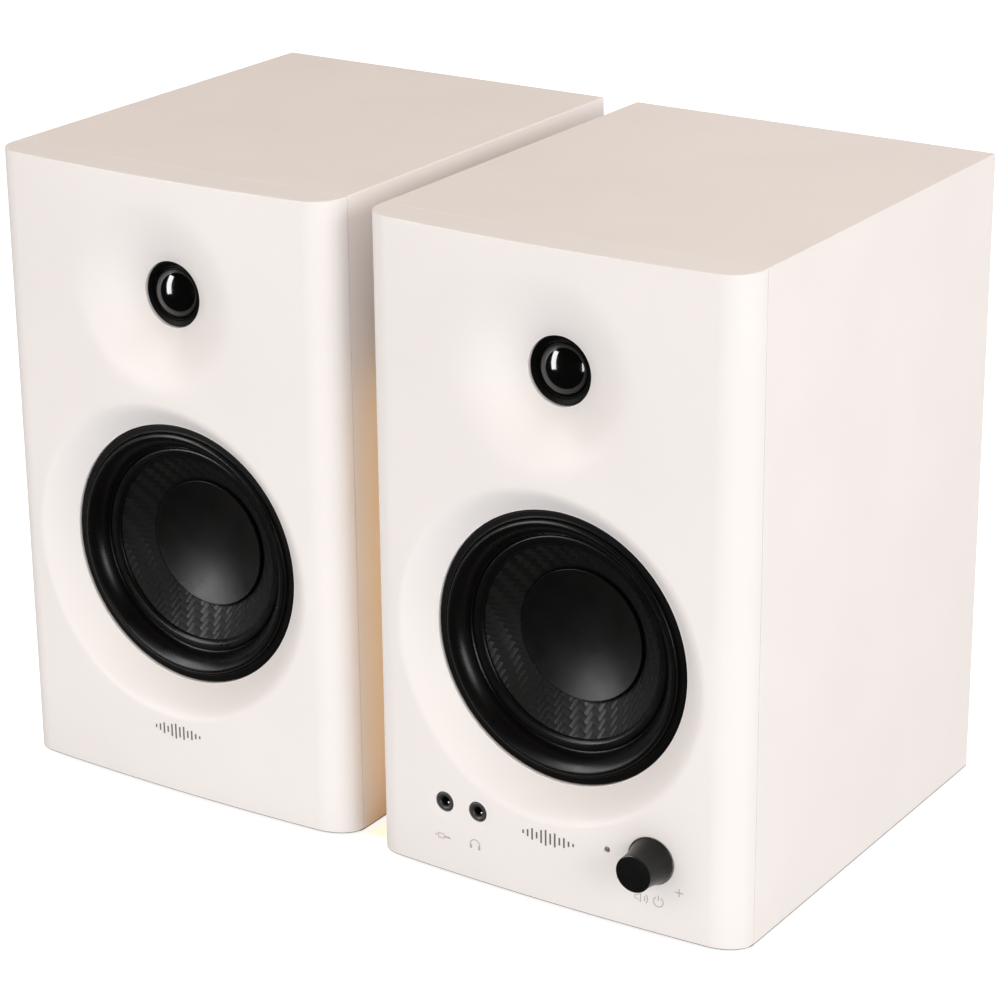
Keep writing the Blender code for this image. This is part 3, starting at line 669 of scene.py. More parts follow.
class Front:
    """The baffle's front. p runs along its plan and equals x on the bowed stretch."""

    def __init__(self, speaker):
        self.speaker = speaker
        self.bow_y = BOW_RADIUS - BAFFLE_THICKNESS
        self.corner_x = speaker.half - CORNER_RADIUS
        reach = (BOW_RADIUS - CORNER_RADIUS) ** 2 - self.corner_x ** 2
        self.corner_y = self.bow_y - math.sqrt(reach)
        self.touch = math.atan2(self.corner_y - self.bow_y, self.corner_x)
        self.touch_x = BOW_RADIUS * math.cos(self.touch)
        self.arc_end = self.touch_x - CORNER_RADIUS * self.touch
        self.chamfer = self.arc_end + BACK_Y - BACK_CHAMFER - self.corner_y
        self.end = self.chamfer + math.sqrt(2) * BACK_CHAMFER
        self.jacks = []
        if speaker.side == "active":
            self.jacks = [speaker.centre("aux_jack"), speaker.centre("headphone_jack")]

    def outline(self, p):
        """(x, y, normal x, normal y) of the plan at p."""
        size, sign = abs(p), math.copysign(1, p)
        if size <= self.touch_x:
            y = self.bow_y - math.sqrt(BOW_RADIUS ** 2 - p ** 2)
            return p, y, p / BOW_RADIUS, (y - self.bow_y) / BOW_RADIUS
        if size <= self.arc_end:
            angle = self.touch + (size - self.touch_x) / CORNER_RADIUS
            nx, ny = math.cos(angle), math.sin(angle)
            x = sign * (self.corner_x + CORNER_RADIUS * nx)
            return x, self.corner_y + CORNER_RADIUS * ny, sign * nx, ny
        if size < self.end - 1e-4:
            return sign * self.speaker.half, BACK_Y - BACK_CHAMFER, sign, 0.0
        return sign * (self.speaker.half - BACK_CHAMFER), BACK_Y, sign, 0.0

    def rise(self, y):
        """How far the sloped underside has risen at some y."""
        return UNDERCUT * (BACK_Y - y) / (BACK_Y + BAFFLE_THICKNESS)

    def stations(self):
        """The p values of the outline's points, from left to right."""
        bow = [self.touch_x * i / 12 for i in range(13)]
        corner = [self.touch_x + (self.arc_end - self.touch_x) * i / 10 for i in range(1, 11)]
        right = bow + corner + [self.chamfer, self.end]
        return [-p for p in reversed(right[1:])] + right

    def y(self, x, z):
        """The front's y at a point of the bowed stretch."""
        y = self.outline(x)[1]
        speaker = self.speaker
        reach = math.hypot(x, z - speaker.woofer_z)
        if reach < WOOFER_DISH:
            t = (WOOFER_DISH - reach) / (WOOFER_DISH - WOOFER_HOLE)
            soft = DISH_SOFTNESS
            share = (math.hypot(t, soft) - soft) / (math.hypot(1, soft) - soft)
            y += (DISH_FLOOR - y) * min(share, 1.0)
        reach = math.hypot(x, z - speaker.tweeter_z)
        if reach < TWEETER_DISH:
            u = max(reach - TWEETER_HOLE, 0) / (TWEETER_DISH - TWEETER_HOLE)
            y += (DISH_FLOOR - y) * (1 - u) ** 2
        if self.jacks:
            low, high = self.jacks[0].x, self.jacks[1].x
            off = math.hypot(x - min(max(x, low), high), z - self.jacks[0].z)
            t = min(max((PILL_RADIUS - off) / PILL_SLOPE, 0.0), 1.0)
            y += PILL_DEPTH * t * t * (3 - 2 * t)
        return y

    def place(self, p, z):
        """The 3-D point at p and z."""
        if abs(p) >= self.touch_x:
            x, y, _, _ = self.outline(p)
            return x, y, z
        return p, self.y(p, z), z

    def clear(self, p, z, holes):
        """Whether a grid point keeps its distance from the dishes, holes and jacks."""
        speaker = self.speaker
        gaps = [
            math.hypot(p, z - speaker.woofer_z) - WOOFER_DISH - 2.5,
            math.hypot(p, z - speaker.tweeter_z) - TWEETER_DISH - 3.0,
        ]
        gaps += [math.hypot(p - x, z - hole_z) - radius - 1.5 for x, hole_z, radius, _ in holes]
        gaps += [math.hypot(p - jack.x, z - jack.z) - PILL_RADIUS - 2 for jack in self.jacks]
        return min(gaps) > 0

    def sheet_points(self, holes):
        """Points inside the front sheet: rings around the drivers and a coarse grid elsewhere."""
        speaker = self.speaker
        points = []
        for z, first, last, count, steps in (
            (speaker.woofer_z, WOOFER_HOLE + 0.25, WOOFER_DISH + 1.0, FINE, 15),
            (speaker.tweeter_z, TWEETER_HOLE + 0.25, TWEETER_DISH + 1.5, MEDIUM, 18),
        ):
            for step in range(1, steps + 1):
                points += circle(first + (last - first) * step / steps, count, 0.0, z)()
        if self.jacks:
            left, right = self.jacks
            for off in (-1.1, -0.85, -0.6, -0.3, 0.0, 0.5):
                points += two_arcs(left.x, right.x, left.z, PILL_RADIUS + off, 20)
        for p in self.stations()[1:-1]:
            low = EDGE + self.rise(self.outline(p)[1])
            for index in range(1, LEVELS):
                z = low + (speaker.height - EDGE - low) * index / LEVELS
                if self.clear(p, z, holes):
                    points.append((p, z))
        return points

    def hole(self, shape, x, z, radius, wall):
        """A hole's rounded rim and its wall, down to the back. Returns its near and far loops."""
        lip = min(0.25, radius * 0.1)
        count = FINE if radius > 20 else MEDIUM if radius > 10 else ROUND
        near = circle(radius + lip, count, x, z)()
        rows = [[self.place(a, b) for a, b in near]]
        for inset, sink in ((0.7, 0.08), (0.93, 0.35), (1.0, 1.0)):
            loop = circle(radius + lip - inset * lip, count, x, z)()
            depths = [self.place(*point)[1] + sink * lip for point in near]
            rows.append([(a, y, b) for (a, b), y in zip(loop, depths)])
        last = wall[-1][0] if wall else radius
        rows += [ring(reach, y, count, x, z) for reach, y in (*wall, (last, MOUNT_Y))]
        shape.rows(rows)
        return near, circle(last, count, x, z)()

    def rounded_end(self, shape, z_start, direction):
        """The rounded edge along the baffle's top or bottom, and the flat end beyond it."""
        steps = 4
        rows = []
        for step in range(steps + 1):
            angle = math.pi / 2 * step / steps
            inset = EDGE * (1 - math.cos(angle))
            z = z_start + direction * EDGE * math.sin(angle)
            row = []
            for p in self.stations():
                x, y, nx, ny = self.outline(p)
                x, y = x - nx * inset, y - ny * inset
                row.append((x, y, z + self.rise(y) if direction < 0 else z))
            rows.append(row)
        shape.rows(rows, around=False)
        shape.face(rows[-1])
        return [[(row[end][0], row[end][2]) for row in rows] for end in (0, -1)]


def baffle_holes(speaker):
    """(x, z, radius, wall) of each round hole. The wall is (radius, y) points, if it is stepped."""
    holes = [
        (0.0, speaker.woofer_z, WOOFER_HOLE, ()),
        (0.0, speaker.tweeter_z, TWEETER_HOLE, ()),
    ]
    if speaker.side == "active":
        pocket = (
            (KNOB_POCKET, POCKET_FLOOR - 0.4), (KNOB_POCKET - 0.4, POCKET_FLOOR),
            (SHAFT_HOLE, POCKET_FLOOR),
        )
        for node, radius, wall in (
            ("aux_jack", JACK_HOLE, ()), ("headphone_jack", JACK_HOLE, ()),
            ("status_light", LIGHT_HOLE, ()), ("volume_knob", KNOB_POCKET, pocket),
        ):
            middle = speaker.centre(node)
            holes.append((middle.x, middle.z, radius, wall))
    return holes


def add_baffle(speaker):
    front = Front(speaker)
    shape = Shape()
    holes = baffle_holes(speaker)
    near, far = zip(*[front.hole(shape, *hole) for hole in holes])
    low, high = EDGE, speaker.height - EDGE
    stations = front.stations()
    levels = [low + (high - low) * i / LEVELS for i in range(1, LEVELS)]
    outline = [(p, low + front.rise(front.outline(p)[1])) for p in stations]
    outline += [(front.end, z) for z in levels]
    outline += [(p, high) for p in reversed(stations)] + [(-front.end, z) for z in reversed(levels)]
    shape.tile(outline, list(near), front.place, front.sheet_points(holes))
    left_low, right_low = front.rounded_end(shape, low, -1)
    left_high, right_high = front.rounded_end(shape, high, 1)
    edge = speaker.half - BACK_CHAMFER
    back = list(reversed(right_low)) + [(edge, z) for z in levels] + right_high
    back += list(reversed(left_high)) + [(-edge, z) for z in reversed(levels)] + left_low
    reach = speaker.half - RIM_WIDTH
    recess = box_loop((-reach, RIM_WIDTH), (reach, speaker.height - RIM_WIDTH), 0.5)()
    shape.tile(back, [recess], lambda x, z: (x, BACK_Y, z))
    shape.rows([[(x, y, z) for x, z in recess] for y in (BACK_Y, MOUNT_Y)])
    shape.tile(recess, list(far), lambda x, z: (x, MOUNT_Y, z))
    speaker.add(f"{speaker.side}_front_shell", shape, "baffle", f"{speaker.side}_front_baffle")
    return front


# Marks on the front

def add_marks(speaker, front):
    """Generic marks only: a sound level on both fronts, and symbols by the controls."""
    bars = (1.3, 2.5, 4.1, 2.3, 4.7, 5.7, 3.9, 5.0, 2.7, 3.5, 1.9, 1.1)
    pitch, width = 1.75, 0.62
    middle_x, middle_z = 1.6, 26.5
    shape = Shape()
    for index, size in enumerate(bars):
        x = middle_x + pitch * (index - (len(bars) - 1) / 2)
        shape.stroke([(x, middle_z - size / 2), (x, middle_z + size / 2)], width, front.y, -1)
    speaker.add(f"{speaker.side}_level_mark", shape, "mark", even=False)
    if speaker.side == "active":
        symbols = control_symbols(front.y)
        speaker.add("control_symbols", symbols, "print", even=False)


def control_symbols(surface):
    """Plug, headphones, loudspeaker, power, minus and plus, all from thin strokes."""
    line = 0.31
    raised = 0.9
    shape = Shape()

    def draw(points, closed=False, width=line):
        shape.stroke([(x, z + raised) for x, z in points], width, surface, -1, closed)
    # Plug
    draw([(-44.0, 14.6), (-42.6, 14.6)])
    draw([(-42.6, 13.8), (-40.2, 13.8), (-40.2, 15.4), (-42.6, 15.4)], True)
    draw([(-40.2, 14.6), (-37.6, 14.6)], width=0.6)
    # Headphones
    draw(arc_points(-27.4, 15.1, 1.9, 200, -20))
    for x in (-29.1, -25.7):
        draw([(x, 15.0), (x, 13.6)], width=0.8)
    # Loudspeaker
    draw([(34.2, 12.9), (35.0, 12.9), (36.3, 11.9), (36.3, 15.1), (35.0, 14.1), (34.2, 14.1)], True)
    for radius in (1.2, 2.2):
        draw(arc_points(36.6, 13.5, radius, -42, 42, 8))
    # Power
    draw(arc_points(42.7, 13.5, 1.75, 118, 422, 22))
    draw([(42.7, 13.9), (42.7, 15.9)])
    # Minus and plus
    draw([(27.5, 18.6), (30.3, 18.6)])
    draw([(48.7, 18.6), (51.5, 18.6)])
    draw([(50.1, 17.2), (50.1, 20.0)])
    return shape


# Cabinet

def add_cabinet(speaker):
    """The open sleeve, with fine rounded edges, and the white gasket in the seam before it."""
    wall = 10.0
    half, height, end = speaker.half, speaker.height, speaker.back
    outer = box_loop((-half, 0), (half, height), 0.45)
    inner = box_loop((-half + wall, wall), (half - wall, height - wall), 0.5)
    sections = [
        (outer, 0.22, SEAM_Y), (outer, 0.07, SEAM_Y + 0.07), (outer, 0.0, SEAM_Y + 0.24),
        (outer, 0.0, end - 0.6), (outer, 0.18, end - 0.18), (outer, 0.6, end),
        (inner, -0.4, end), (inner, 0.0, end - 0.4),
        (inner, 0.0, SEAM_Y + 0.3), (inner, -0.3, SEAM_Y),
    ]
    rows = [[(x, y, z) for x, z in loop(inset)] for loop, inset, y in sections]
    sleeve = Shape().rows(rows, wrap=True)
    speaker.add(f"{speaker.side}_cabinet_shell", sleeve, "cabinet", speaker.body)
    near, far = BACK_Y + 0.02, SEAM_Y - 0.02
    rows = []
    for inset, y in ((0.3, near), (0.3, far), (1.3, far), (1.3, near)):
        loop = box_loop((inset - half, inset), (half - inset, height - inset), 0.5)
        rows.append([(x, y, z) for x, z in loop()])
    speaker.add(f"{speaker.side}_seam_gasket", Shape().rows(rows, wrap=True), "white_part")


def add_feet(speaker):
    """Rubber pads with a rolled edge and a dished sole."""
    profile = rounded([
        (0, -1.35), (4.4, -1.35, 0.2), (4.8, -1.6, 0.2), (6.2, -1.6, 0.4), (6.5, -0.3, 0.3),
        (0, -0.3),
    ])
    for spot in ("front_left", "front_right", "rear_left", "rear_right"):
        node = f"{speaker.side}_foot_{spot}"
        middle = speaker.centre(node)
        pad = Shape().turned(profile, 40, upright=True)
        speaker.add(node + "_pad", pad, "foot", node, place=speaker.at(middle.x, middle.y, 0))


# Woofer

def roll_profile(thickness):
    """The roll's section on a chord that drops from the rim to the lip, thinner by thickness."""
    outer, inner, steps = 44.0, 37.9, 22
    start_y, drop, crest = -3.4, 4.2, 2.9
    middle, half = (outer + inner) / 2, (outer - inner) / 2 - thickness
    points = []
    for i in range(steps + 1):
        angle = math.pi * i / steps
        chord = start_y + drop * (1 - math.cos(angle)) / 2
        y = chord - (crest - thickness) * math.sin(angle)
        points.append((middle + half * math.cos(angle), y))
    return points


def add_surround(speaker):
    """A stiff rim in the baffle's hole, and the rubber roll and lip."""
    side = speaker.side
    node = f"{side}_woofer_surround"
    place = speaker.at(0, 0, speaker.woofer_z)
    section = rounded([
        (46.9, -0.35, 0.1), (46.9, -3.55, 0.5), (44.75, -3.6, 0.2), (44.3, -3.95, 0.3),
        (43.95, -3.4, 0.2), (44.1, -0.35, 0.1),
    ], closed=True)
    rim = Shape().turned(section, FINE, closed=True)
    speaker.add(f"{side}_woofer_rim", rim, "rim", node, place=place)
    top, under = roll_profile(0), roll_profile(0.7)
    lip = rounded([
        top[-1], (37.3, 1.5, 0.5), (36.7, 0.75, 0.5), (34.3, 0.95, 0.5), (33.4, 1.75, 0.3),
        (33.4, 2.15), (38.3, 2.15),
    ])
    roll = Shape().turned(top[:-1] + lip + under[-2::-1], FINE, closed=True)
    name = f"{side}_woofer_roll"
    piece = speaker.add(name, roll, "rubber", node, place=place, body=BLENDED, even=False)
    speaker.at(0, -3.6, speaker.woofer_z)
    speaker.at(0, 0.7, speaker.woofer_z)
    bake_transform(piece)


def add_cone(speaker):
    side = speaker.side
    moving = {"place": speaker.at(0, 0, speaker.woofer_z), "body": f"{side}_woofer_motion"}
    rim_radius, rim_y, neck_radius, neck_y = 33.3, 2.5, 13.0, 17.2
    steps, sag, thickness = 14, 0.7, 0.7
    front = [(37.4, 2.4)]
    for t in [i / steps for i in range(steps + 1)]:
        y = rim_y + (neck_y - rim_y) * t + sag * math.sin(math.pi * t)
        front.append((rim_radius + (neck_radius - rim_radius) * t, y))
    back = [(radius, y + thickness) for radius, y in reversed(front)]
    cone = Shape().turned(front + back, FINE, closed=True)
    speaker.add(f"{side}_woofer_weave", cone, "cone", f"{side}_woofer_cone", **moving)
    radius, edge_y, deep, steps = 22.3, 9.0, 3.5, 12
    dish = [(radius * i / steps, edge_y + deep * (1 - (i / steps) ** 2)) for i in range(steps + 1)]
    skirt = rounded([dish[-1], (22.8, 8.85, 0.35), (23.0, 10.0), (22.3, 10.0)])
    back = [(r, y + 0.8) for r, y in reversed(dish[:-1])]
    cap = Shape().turned(dish[:-1] + skirt + back, 128)
    speaker.add(f"{side}_woofer_cap", cap, "cap", f"{side}_woofer_dust_cap", **moving)


# Tweeter

def half_ring(radius, y, half, height):
    """The section of a small roll."""
    angles = [math.pi * i / 12 for i in range(13)]
    return [(radius + half * math.cos(a), y - height * math.sin(a)) for a in angles]


def add_tweeter(speaker):
    side = speaker.side
    place = speaker.at(0, 0, speaker.tweeter_z)
    profile = rounded([
        (0, 4.0), (9.38, 4.0, 0.2), (9.4, -2.4, 0.3), (10.6, -3.1, 0.8), (11.3, -3.3, 0.35),
        (11.3, 0.0), (25.0, 0.0, 0.2), (25.0, 2.5, 0.2), (18.0, 2.5), (18.0, 20.0, 0.6), (0, 20.0),
    ])
    housing = Shape().turned(profile, MEDIUM)
    speaker.add(f"{side}_tweeter_ring", housing, "ring", f"{side}_tweeter_housing", place=place)
    moving = {"place": place, "body": f"{side}_tweeter_motion"}
    radius, edge_y, rise, thickness, steps = 9.1, -2.0, 4.4, 0.4, 16
    bend = (radius ** 2 + rise ** 2) / (2 * rise)
    angles = [math.asin(radius / bend) * i / steps for i in range(steps + 1)]
    centre = edge_y - rise + bend
    outer, skin = [
        [(size * math.sin(a), centre - size * math.cos(a)) for a in angles]
        for size in (bend, bend - thickness)
    ]
    dome = Shape().turned(outer + skin[::-1], SMOOTH)
    speaker.add(f"{side}_tweeter_dome_skin", dome, "dome", f"{side}_tweeter_dome", **moving)
    crest, under = half_ring(9.22, -1.9, 0.11, 0.20), half_ring(9.22, -1.85, 0.06, 0.12)
    roll = Shape().turned(crest + under[::-1], SMOOTH, closed=True)
    speaker.add(f"{side}_tweeter_roll", roll, "suspension", **moving)


# Front controls

def add_front_jack(speaker, front, node):
    """A bezel with a rolled edge round a bore, and a sprung contact deep inside."""
    middle = speaker.centre(node)
    place = speaker.on_axis(node)
    face = front.y(middle.x, middle.z) - 0.02
    profile = rounded([
        (1.75, face + 5.0), (1.75, face + 0.5, 0.25), (2.15, face + 0.1, 0.2), (3.1, face, 0.2),
        (3.42, face + 0.35, 0.2), (3.42, 0.0), (5.0, 0.0, 0.3), (5.0, 11.7, 0.3), (0.0, 11.7),
        (0.0, face + 5.0),
    ])
    bezel = Shape().turned(profile, ROUND, closed=True)
    speaker.add(f"{node}_bezel", bezel, "jack", node, place=place)
    liner = Shape().turned([
        (1.7, face + 0.7), (1.72, face + 4.9), (0.0, face + 4.9), (0.0, face + 4.5),
        (1.45, face + 4.5), (1.45, face + 0.7),
    ], 32, closed=True)
    speaker.add(f"{node}_liner", liner, "bore", place=place)
    contact = Shape().brick((0.55, face + 1.0, -1.15), (1.35, face + 1.7, -0.35), 0.15)
    speaker.add(f"{node}_contact", contact, "steel", place=place)


def add_status_light(speaker, front):
    middle = speaker.centre("status_light")
    face = front.y(middle.x, middle.z)
    profile = rounded([
        (0, face + 0.1), (0.45, face + 0.15), (0.8, face + 0.4, 0.15), (0.8, 11.7, 0.2), (0, 11.7),
    ])
    pipe = Shape().turned(profile, 32)
    place = speaker.on_axis("status_light")
    speaker.add("status_light_pipe", pipe, "lamp", "status_light", place=place)


def add_volume_knob(speaker):
    """A spool: flared base, slim waist and a flat face with a fine chamfer."""
    node = "volume_knob"
    low, high = speaker.box(node)
    face, base = low.y, high.y
    radius, flare, steps = 6.35, 1.6, 12
    side = []
    for t in [i / steps for i in range(steps + 1)]:
        side.append((radius + flare * (1 - t) ** 2.2, base - 0.9 + (face + 0.5 - base + 0.9) * t))
    front = rounded([side[-1], (radius, face, 0.45), (0.0, face)])
    back = [(0.0, -20.0), (3.1, -20.0), (3.1, base), (7.65, base), (7.95, base - 0.3)]
    knob = Shape().turned(back + side[:-1] + front, SMOOTH)
    speaker.add("volume_knob_cap", knob, "knob", node, place=speaker.on_axis(node), body=node)


# Rear, both speakers

def add_port(speaker):
    """The bass port, flared at its mouth."""
    node = f"{speaker.side}_port_tube"
    middle = speaker.centre(node)
    bore, flare, length, steps = 20.0, 6.6, 16.0, 12
    end = speaker.back - 0.3
    start = end - length
    mouth = []
    for angle in [math.pi / 2 * i / steps for i in range(steps + 1)]:
        radius = bore + flare * (1 - math.cos(angle))
        mouth.append((radius, start + (end - start) * math.sin(angle)))
    profile = [(22.2, 70.0), (bore, 70.0)] + mouth
    profile += rounded([mouth[-1], (30.0, end, 0.8), (30.0, PANEL_Y)])[1:]
    profile += [(27.2, PANEL_Y), (27.2, 150.0), (22.2, 141.0)]
    port = Shape().turned(profile, SMOOTH, closed=True)
    speaker.add(f"{speaker.side}_bass_port", port, "port", node, place=speaker.at(0, 0, middle.z))


def cross_loop(radius, x, z):
    """A cross recess."""
    arm, half = radius * 0.62, radius * 0.15
    quarter = [(arm, -half), (arm, half), (half, half)]
    points = []
    for cos, sin in ((1, 0), (0, 1), (-1, 0), (0, -1)):
        points += [(x + a * cos - b * sin, z + a * sin + b * cos) for a, b in quarter]
    return around_middle(points)


def add_screws(speaker, name, places, seat_y):
    """Pan heads with a cross recess, facing the back."""
    radius, height, bevel, recess_share = 2.4, 1.0, 0.35, 0.35
    shape = Shape()
    for x, z in places:
        recess = (cross_loop(radius, x, z), seat_y + height * recess_share)
        shape.plate(circle(radius, 32, x, z), seat_y + height, seat_y, bevel, blind=[recess])
    speaker.add(name, shape, "screw")


def add_terminal(speaker, node, clips, flanged):
    """A spring-clip block with funnelled wire holes, its levers and the polarity signs."""
    x, z = speaker.centre(node).x, TERMINAL_Z
    half_x, half_z, margin = 18.0, 14.0, 5.0
    face, back, hole_floor = 164.0, 142.0, 152.0
    outline = box_about(half_x, half_z, 1.6, x, z)
    offsets = (-CLIP_OFFSET, CLIP_OFFSET)
    holes = [(circle(1.7, 24, x + offset, z - 7.5), hole_floor) for offset in offsets]
    shape = Shape().plate(outline, face, back, 0.7, blind=holes)
    if flanged:
        flange = box_about(half_x + margin, half_z + margin, 2.5, x, z)
        shape.plate(flange, PLATE_Y, PANEL_Y, 0.4, holes=[outline])
    speaker.add(f"{node}_block", shape, "plastic", node)
    sign_z, reach, width = z - 11.4, 1.3, 0.4
    surface = flat_at(face)
    signs = Shape()
    for middle in (x + CLIP_OFFSET, x - CLIP_OFFSET):
        signs.stroke([(middle - reach, sign_z), (middle + reach, sign_z)], width, surface, 1)
        if middle > x:
            signs.stroke([(middle, sign_z - reach), (middle, sign_z + reach)], width, surface, 1)
    speaker.add(f"{node}_signs", signs, "rear_print", even=False)
    for color, look, offset in (("red", "red", CLIP_OFFSET), ("black", "gloss", -CLIP_OFFSET)):
        lever = Shape().brick((-5.0, -0.8, -1.2), (5.0, 7.6, 1.2), 0.45, 3)
        for y in [3.4 + 1.05 * ridge for ridge in range(4)]:
            lever.brick((-3.9, y, 0.9), (3.9, y + 0.5, 1.45), 0.12)
        clip = f"{clips}_{color}_clip"
        pivot = speaker.at(x + offset, face + 1.5, z + 4.5)
        name = f"{clips}_{color}_lever"
        speaker.add(name, lever, look, clip, place=pivot, body=clip, turn=LEVER_TURN)


# Rear of the active speaker

def add_rear_plate(speaker):
    """The connection plate, with its screws and symbols."""
    low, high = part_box("rear_plate")
    half = (high.x - low.x) / 2 / MM
    bottom, top = (low.z - speaker.origin.z) / MM, (high.z - speaker.origin.z) / MM
    holes = []
    for node, radius in (
        ("treble_knob", 3.3), ("bass_knob", 3.3), ("line_in_right", 5.8), ("line_in_left", 5.8),
    ):
        middle = speaker.centre(node)
        holes.append(circle(radius, 40, middle.x, middle.z))
    rca = speaker.centre("rca_sockets")
    holes += [circle(4.5, 40, rca.x, rca.z + offset) for offset in (-RCA_OFFSET, RCA_OFFSET)]
    for node, half_x, half_z in (
        ("power_switch_frame", 7.8, 11.3), ("mains_inlet", 12.8, 8.8),
        ("output_terminal", 18.3, 14.3),
    ):
        middle = speaker.centre(node)
        z = TERMINAL_Z if node == "output_terminal" else middle.z
        holes.append(box_about(half_x, half_z, 0.6, middle.x, z))
    outline = box_loop((-half, bottom), (half, top), 4.0)
    shape = Shape().plate(outline, PLATE_Y, PANEL_Y, 0.35, holes)
    speaker.add("rear_connection_plate", shape, "plate", "rear_plate")
    margin = 5
    rows = (bottom + margin, (bottom + top) / 2, top - margin)
    places = [(x, z) for x in (-half + margin, half - margin) for z in rows]
    places += [(0, bottom + margin), (0, top - margin)]
    add_screws(speaker, "rear_plate_screws", places, PLATE_Y)
    speaker.add("rear_symbols", rear_symbols(speaker), "rear_print", even=False)


def rear_symbols(speaker):
    """Knob scales with minus and plus, rings around the inputs, and the mains sign."""
    shape = Shape()

    def draw(points, closed=False, width=0.4):
        shape.stroke(points, width, flat_at(PLATE_Y), 1, closed)
    for node in ("treble_knob", "bass_knob"):
        x, _, z = speaker.centre(node)
        for angle in [math.radians(-50 + 28 * index) for index in range(11)]:
            cos, sin = math.cos(angle), math.sin(angle)
            draw([(x + reach * cos, z + reach * sin) for reach in (8.3, 9.4)], width=0.3)
        draw([(x - 8.6, z - 8.6), (x - 6.6, z - 8.6)])
        draw([(x + 6.6, z - 8.6), (x + 8.6, z - 8.6)])
        draw([(x - 7.6, z - 9.6), (x - 7.6, z - 7.6)])
    for node in ("line_in_right", "line_in_left"):
        middle = speaker.centre(node)
        draw(arc_points(middle.x, middle.z, 9.6, 0, 352, 40), True, 0.3)
    rca = speaker.centre("rca_sockets")
    draw(box_about(7, 14.5, 3.0, rca.x, rca.z)(), True, 0.3)
    inlet = speaker.centre("mains_inlet")
    steps = [(0.5 * i, i * math.pi / 8) for i in range(17)]
    draw([(inlet.x - 4 + x, inlet.z - 13.5 + 1.1 * math.sin(a)) for x, a in steps], width=0.45)
    return shape


def add_line_socket(speaker, node):
    """A 6.35 mm socket with its hexagon nut."""
    place = speaker.on_axis(node)
    profile = rounded([
        (3.25, 140.0), (3.25, 160.0, 0.4), (3.8, 160.5, 0.3), (5.2, 160.5, 0.3), (5.4, 155.5),
        (8.0, 155.3), (8.0, 133.0, 0.5), (0.0, 133.0), (0.0, 140.0),
    ])
    socket = Shape().turned(profile, ROUND, closed=True)
    speaker.add(f"{node}_socket", socket, "plastic", node, place=place)
    hexagon = circle(8.1, 6)()
    nut = Shape().plate(
        around_middle(hexagon), 160.0, PLATE_Y + 0.3, 0.4, holes=[circle(5.55, ROUND)]
    )
    speaker.add(f"{node}_nut", nut, "screw", place=place)


def add_rca(speaker):
    """Two phono sockets: plated shells, each with a coloured insulator."""
    node = "rca_sockets"
    place = speaker.on_axis(node)
    block = Shape().brick((-7, 140.0, -15), (7, 155.3, 15), 0.5)
    speaker.add("rca_block", block, "plastic", node, place=place)
    shell = rounded([
        (3.2, 155.5), (3.2, 166.6, 0.3), (3.7, 167.0, 0.2), (4.1, 166.5, 0.3), (4.1, 155.5),
    ])
    insulator = rounded([
        (1.6, 156.5), (1.6, 163.9, 0.3), (3.1, 164.2, 0.3), (3.1, 155.7), (0.0, 155.7),
        (0.0, 156.5),
    ])
    for label, z, color in (("upper", RCA_OFFSET, "red"), ("lower", -RCA_OFFSET, "white_part")):
        for part, profile, count, look in (
            ("shell", shell, ROUND, "steel"), ("insulator", insulator, 40, color),
        ):
            shape = Shape().turned(profile, count, z=z, closed=True)
            speaker.add(f"rca_{part}_{label}", shape, look, place=place)


def add_trim_knob(speaker, node):
    """A ribbed tone knob with a pointer line."""
    moving = {"place": speaker.on_axis(node), "body": node}
    end = speaker.box(node)[1].y
    ribs = {"ribs": 16, "rib": 0.025}
    foot_end, waist = (6.55, 159.4), (6.3, end - 1.2)
    shape = Shape()
    foot = [(0, 148.0), (2.8, 148.0), (2.8, 158.2), (6.9, 158.2), (7.0, 159.0), foot_end]
    shape.turned(foot, SMOOTH)
    shape.turned([foot_end, waist], SMOOTH, **ribs)
    shape.turned([waist, (5.9, end - 0.4), (5.3, end - 0.12), (0, end - 0.12)], SMOOTH)
    for radius, y in (foot_end, waist):
        shape.rows([ring(radius, y, SMOOTH), ring(radius, y, SMOOTH, **ribs)])
    speaker.add(f"{node}_cap", shape, "knob", node, **moving)
    pointer = Shape()
    pointer.stroke([(0, 1.2), (0, 5.0)], 0.6, flat_at(end - 0.08), 1)
    speaker.add(f"{node}_pointer", pointer, "rear_print", even=False, **moving)


